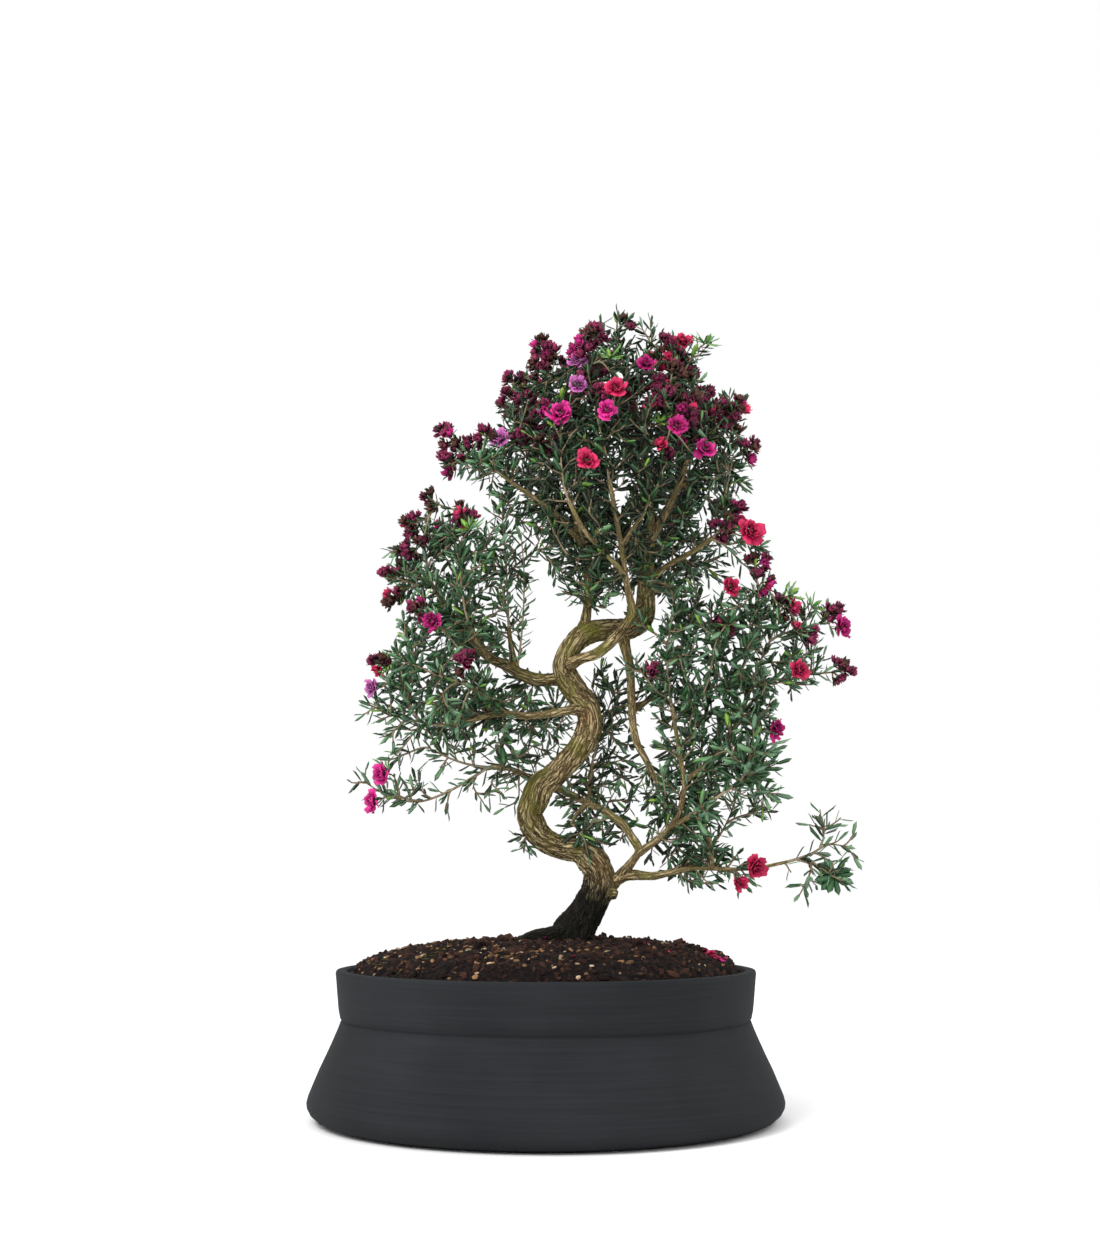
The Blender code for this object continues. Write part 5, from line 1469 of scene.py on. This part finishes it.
# %% The flowering twigs
BLOOMS = {name: (rows[0][0], rows[1:]) for name, rows in table("""
top_left: top_left, spent -5 -14 473, spent -3 -12 486, spent 4 -14 479, spent -22 -10 464,
  spent -26 -12 452
apex: top_front, lavender 20 -24 471, spent 22 -22 483, spent 31 -16 492
top_right: right_top, spent 76 -16 486, crimson 88 -10 488, magenta 64 -30 466, spent 72 -30 458
purple: front_left, pink 9 -48 430, spent -3 -42 436, lavender 20 -40 451, spent 32 -46 445
pink: top_front, pink 37 -62 429, crimson 43 -54 445
crimson: front_left, crimson 25 -64 397
upper_right: front_right, spent 79 -38 447, spent 68 -44 440, spent 87 -44 434
right_shoulder: right_top, spent 102 -22 452, spent 92 -34 443, spent 111 -20 441, spent 124 -12 447,
  spent 121 -16 433, spent 131 -10 420
front_right: front_right, magenta 80 -58 420, spent 71 -58 407, pink 98 -44 409
left_shoulder: left_shoulder, spent -55 -9 420, spent -66 -8 429, spent -65 -10 410,
  lavender -29 -14 423, spent -41 -10 428
left_high: left_high, spent -76 -8 386, spent -88 -8 371, spent -87 -12 354, spent -53 -16 374
left_edge: left_high, spent -99 -12 321, spent -103 -9 335
left_front: left_front, magenta -70 -36 302, spent -82 -30 312, spent -52 -50 276
left_tip: left_mid, lavender -109 -16 263, spent -107 -12 279
low_left: low_left, pink -102 -12 209, pink -108 -12 193
right_mid: right_mid, crimson 128 -24 361, spent 114 -22 366, spent 120 -18 378
right_inner: dark_stem, spent 114 -18 303, crimson 116 -16 327
right_high: right_lobe, spent 140 -12 333, spent 138 -8 345, spent 154 -16 315, spent 166 -18 299
right_tip: right_lobe, magenta 186 -8 304, spent 185 -4 312
right_low: right_lobe, crimson 157 -28 273, spent 190 -6 275
right_under: right_lobe, magenta 144 -10 238
inner: right_stem, spent 66 -28 270
low_branch: flower_stub, crimson 128 -18 151, small_crimson 120 -19 143
back_top: back_top, spent 14 58 489, crimson 27 70 480
back_right_top: back_right_top, magenta 96 68 466, spent 86 60 474
back_left: left_back, spent -58 54 391, pink -72 56 376
back_right: back_right, spent 120 66 402, crimson 130 66 384
""")}
LARGE = {"purple": 1.25, "right_tip": 1.25, "right_mid": 1.2}
BLOOM_HEART = Vector((40, 5, 300))


def half_of(kind):
    """Half the width of a head: spent heads and the small flower are narrower."""
    return 5.4 if kind[0] == "s" else 7.8


def facing(place):
    """The way a head at this place looks: out of the crown and up."""
    out = place - BLOOM_HEART
    return Vector((out.x * 0.8, out.y * 1.6, out.z * 0.5 + 25)).normalized()


def settled(rounds=40, between_heads=0.4):
    """The heads, nudged apart where they would push into each other."""
    heads = [[name, kind, Vector(place)] for name, (_, rows) in BLOOMS.items() for kind, *place in rows]
    for _ in range(rounds):
        for i, (_, kind, place) in enumerate(heads):
            for _, other_kind, other in heads[i + 1:]:
                apart = half_of(kind) + half_of(other_kind) + between_heads
                gap = place - other
                if gap.length < apart:
                    push = gap.normalized() * (apart - gap.length) * 0.5
                    place += push
                    other -= push
    return heads


heads = settled()
for name, (carrier, _) in BLOOMS.items():
    own = [(kind, place) for owner, kind, place in heads if owner == name]
    guide = corners("bloom_" + name)
    carried = grown[carrier] if carrier in grown else Shoots(centre_line(LIMBS[carrier], 2.0))
    spot = int(np.argmin(gaps_to(carried.places, guide)))
    start = carried.places[spot]
    seat = guide[int(np.argmin(np.linalg.norm(guide - start, axis=1)))]
    twig = Shoots(bowed(start, carried.ways[spot], seat, seat - start + [0, 0, 0.1]))
    pile = Pile("fine_bloom_" + name)
    for kind, place in sorted(own, key=lambda head: float(np.linalg.norm(np.array(head[1]) - seat))):
        look = facing(place)
        foot = place - look * half_of(kind) * 0.5
        dress_line(pile, twig.reach(np.array(foot), np.array(look)), 1.8, 1.0, 0.2, 0.85)
        if kind == "spent":
            lay_bunch(pile, twig, place + look * 1.5, look, 6 if len(own) > 1 else 3, 9.0)
            continue
        # An open flower is turned more to the front or the back
        look = Vector((look.x, look.y * 1.5 - 0.5, look.z * 0.7)).normalized()
        size = 0.75 if "small" in kind else 0.92 if kind == "lavender" else LARGE.get(name, 1)
        base = stand(place - look * 2.6, look)
        lay_open(pile, base, rng.uniform(0.95, 1.08) * size, LOOK[kind.split("_")[-1]])
    pile.lay(shoots_shape(name, twig, 0.9, 0.45), Matrix(), LOOK["twig"], rng.random())
    pile.finish(ALL_FINISHES, ["bloom_" + name])
print("heads:", len(heads))

# %% [markdown]
# ## Fallen petals and moss
# A few petals have dropped onto the soil, most of them on the right, and some green threads of moss
# creep over the left of the mound. Both are laid on the surface that the ray finds.

# %% Lay the fallen petals and the moss
# Where petals lie, and how many
FALLEN = [(0, -12, 2), (21, -92, 3), (61, -45, 3), (77, -62, 3), (103, -36, 16), (98, -28, 9), (-72, -18, 2),
          (-30, -70, 1), (40, 40, 3), (-50, 60, 2), (88, 10, 2)]
FEW, FEW_SIZES, MANY_SIZES = 5, (2.2, 3.8), (3, 5)
THREADS = 7
MOSS = [(-86, -78), (-80, -84), (-62, -50), (-58, -56), (-70, -66), (-92, -60), (-20, 70)]
fallen = Pile("fallen_petals")
for x, y, count in FALLEN:
    for _ in range(count):
        spot = (x + rng.uniform(-4, 4), y + rng.uniform(-4, 4))
        height, way = ground(*spot)
        tilt = strayed(way, 0.25)
        size = rng.uniform(*(FEW_SIZES if count < FEW else MANY_SIZES))
        matrix = stand((*spot, height + 0.7), tilt) @ sized(size * rng.uniform(0.5, 0.9), size, size)
        fallen.lay(PETAL, matrix, rng.choice((0, 1, 1)), rng.uniform(0, 0.7))
fallen.finish([FINISHES["pink"], FINISHES["crimson"]])
moss_green = grain_material("creeping moss", "#3c4a1a", "#8a9a3a")
moss = Pile("moss_threads")
for x, y in MOSS:
    for _ in range(THREADS):
        spot = Vector((x + rng.gauss(0, 3), y + rng.gauss(0, 3)))
        height, way = ground(*spot)
        along = Vector((rng.uniform(-1, 1), rng.uniform(-1, 1), rng.uniform(0.0, 0.15))).normalized()
        size = rng.uniform(3, 7)
        turn = along.to_track_quat("Y", "Z").to_matrix().to_4x4()
        matrix = Matrix.Translation((*spot, height + 0.8)) @ turn @ sized(size * 0.35, size, size * 0.5)
        moss.lay(LEAF, matrix, 0, rng.random())
moss.finish([moss_green])
print("fallen petals:", len(fallen.tones), "and moss threads:", len(moss.tones))
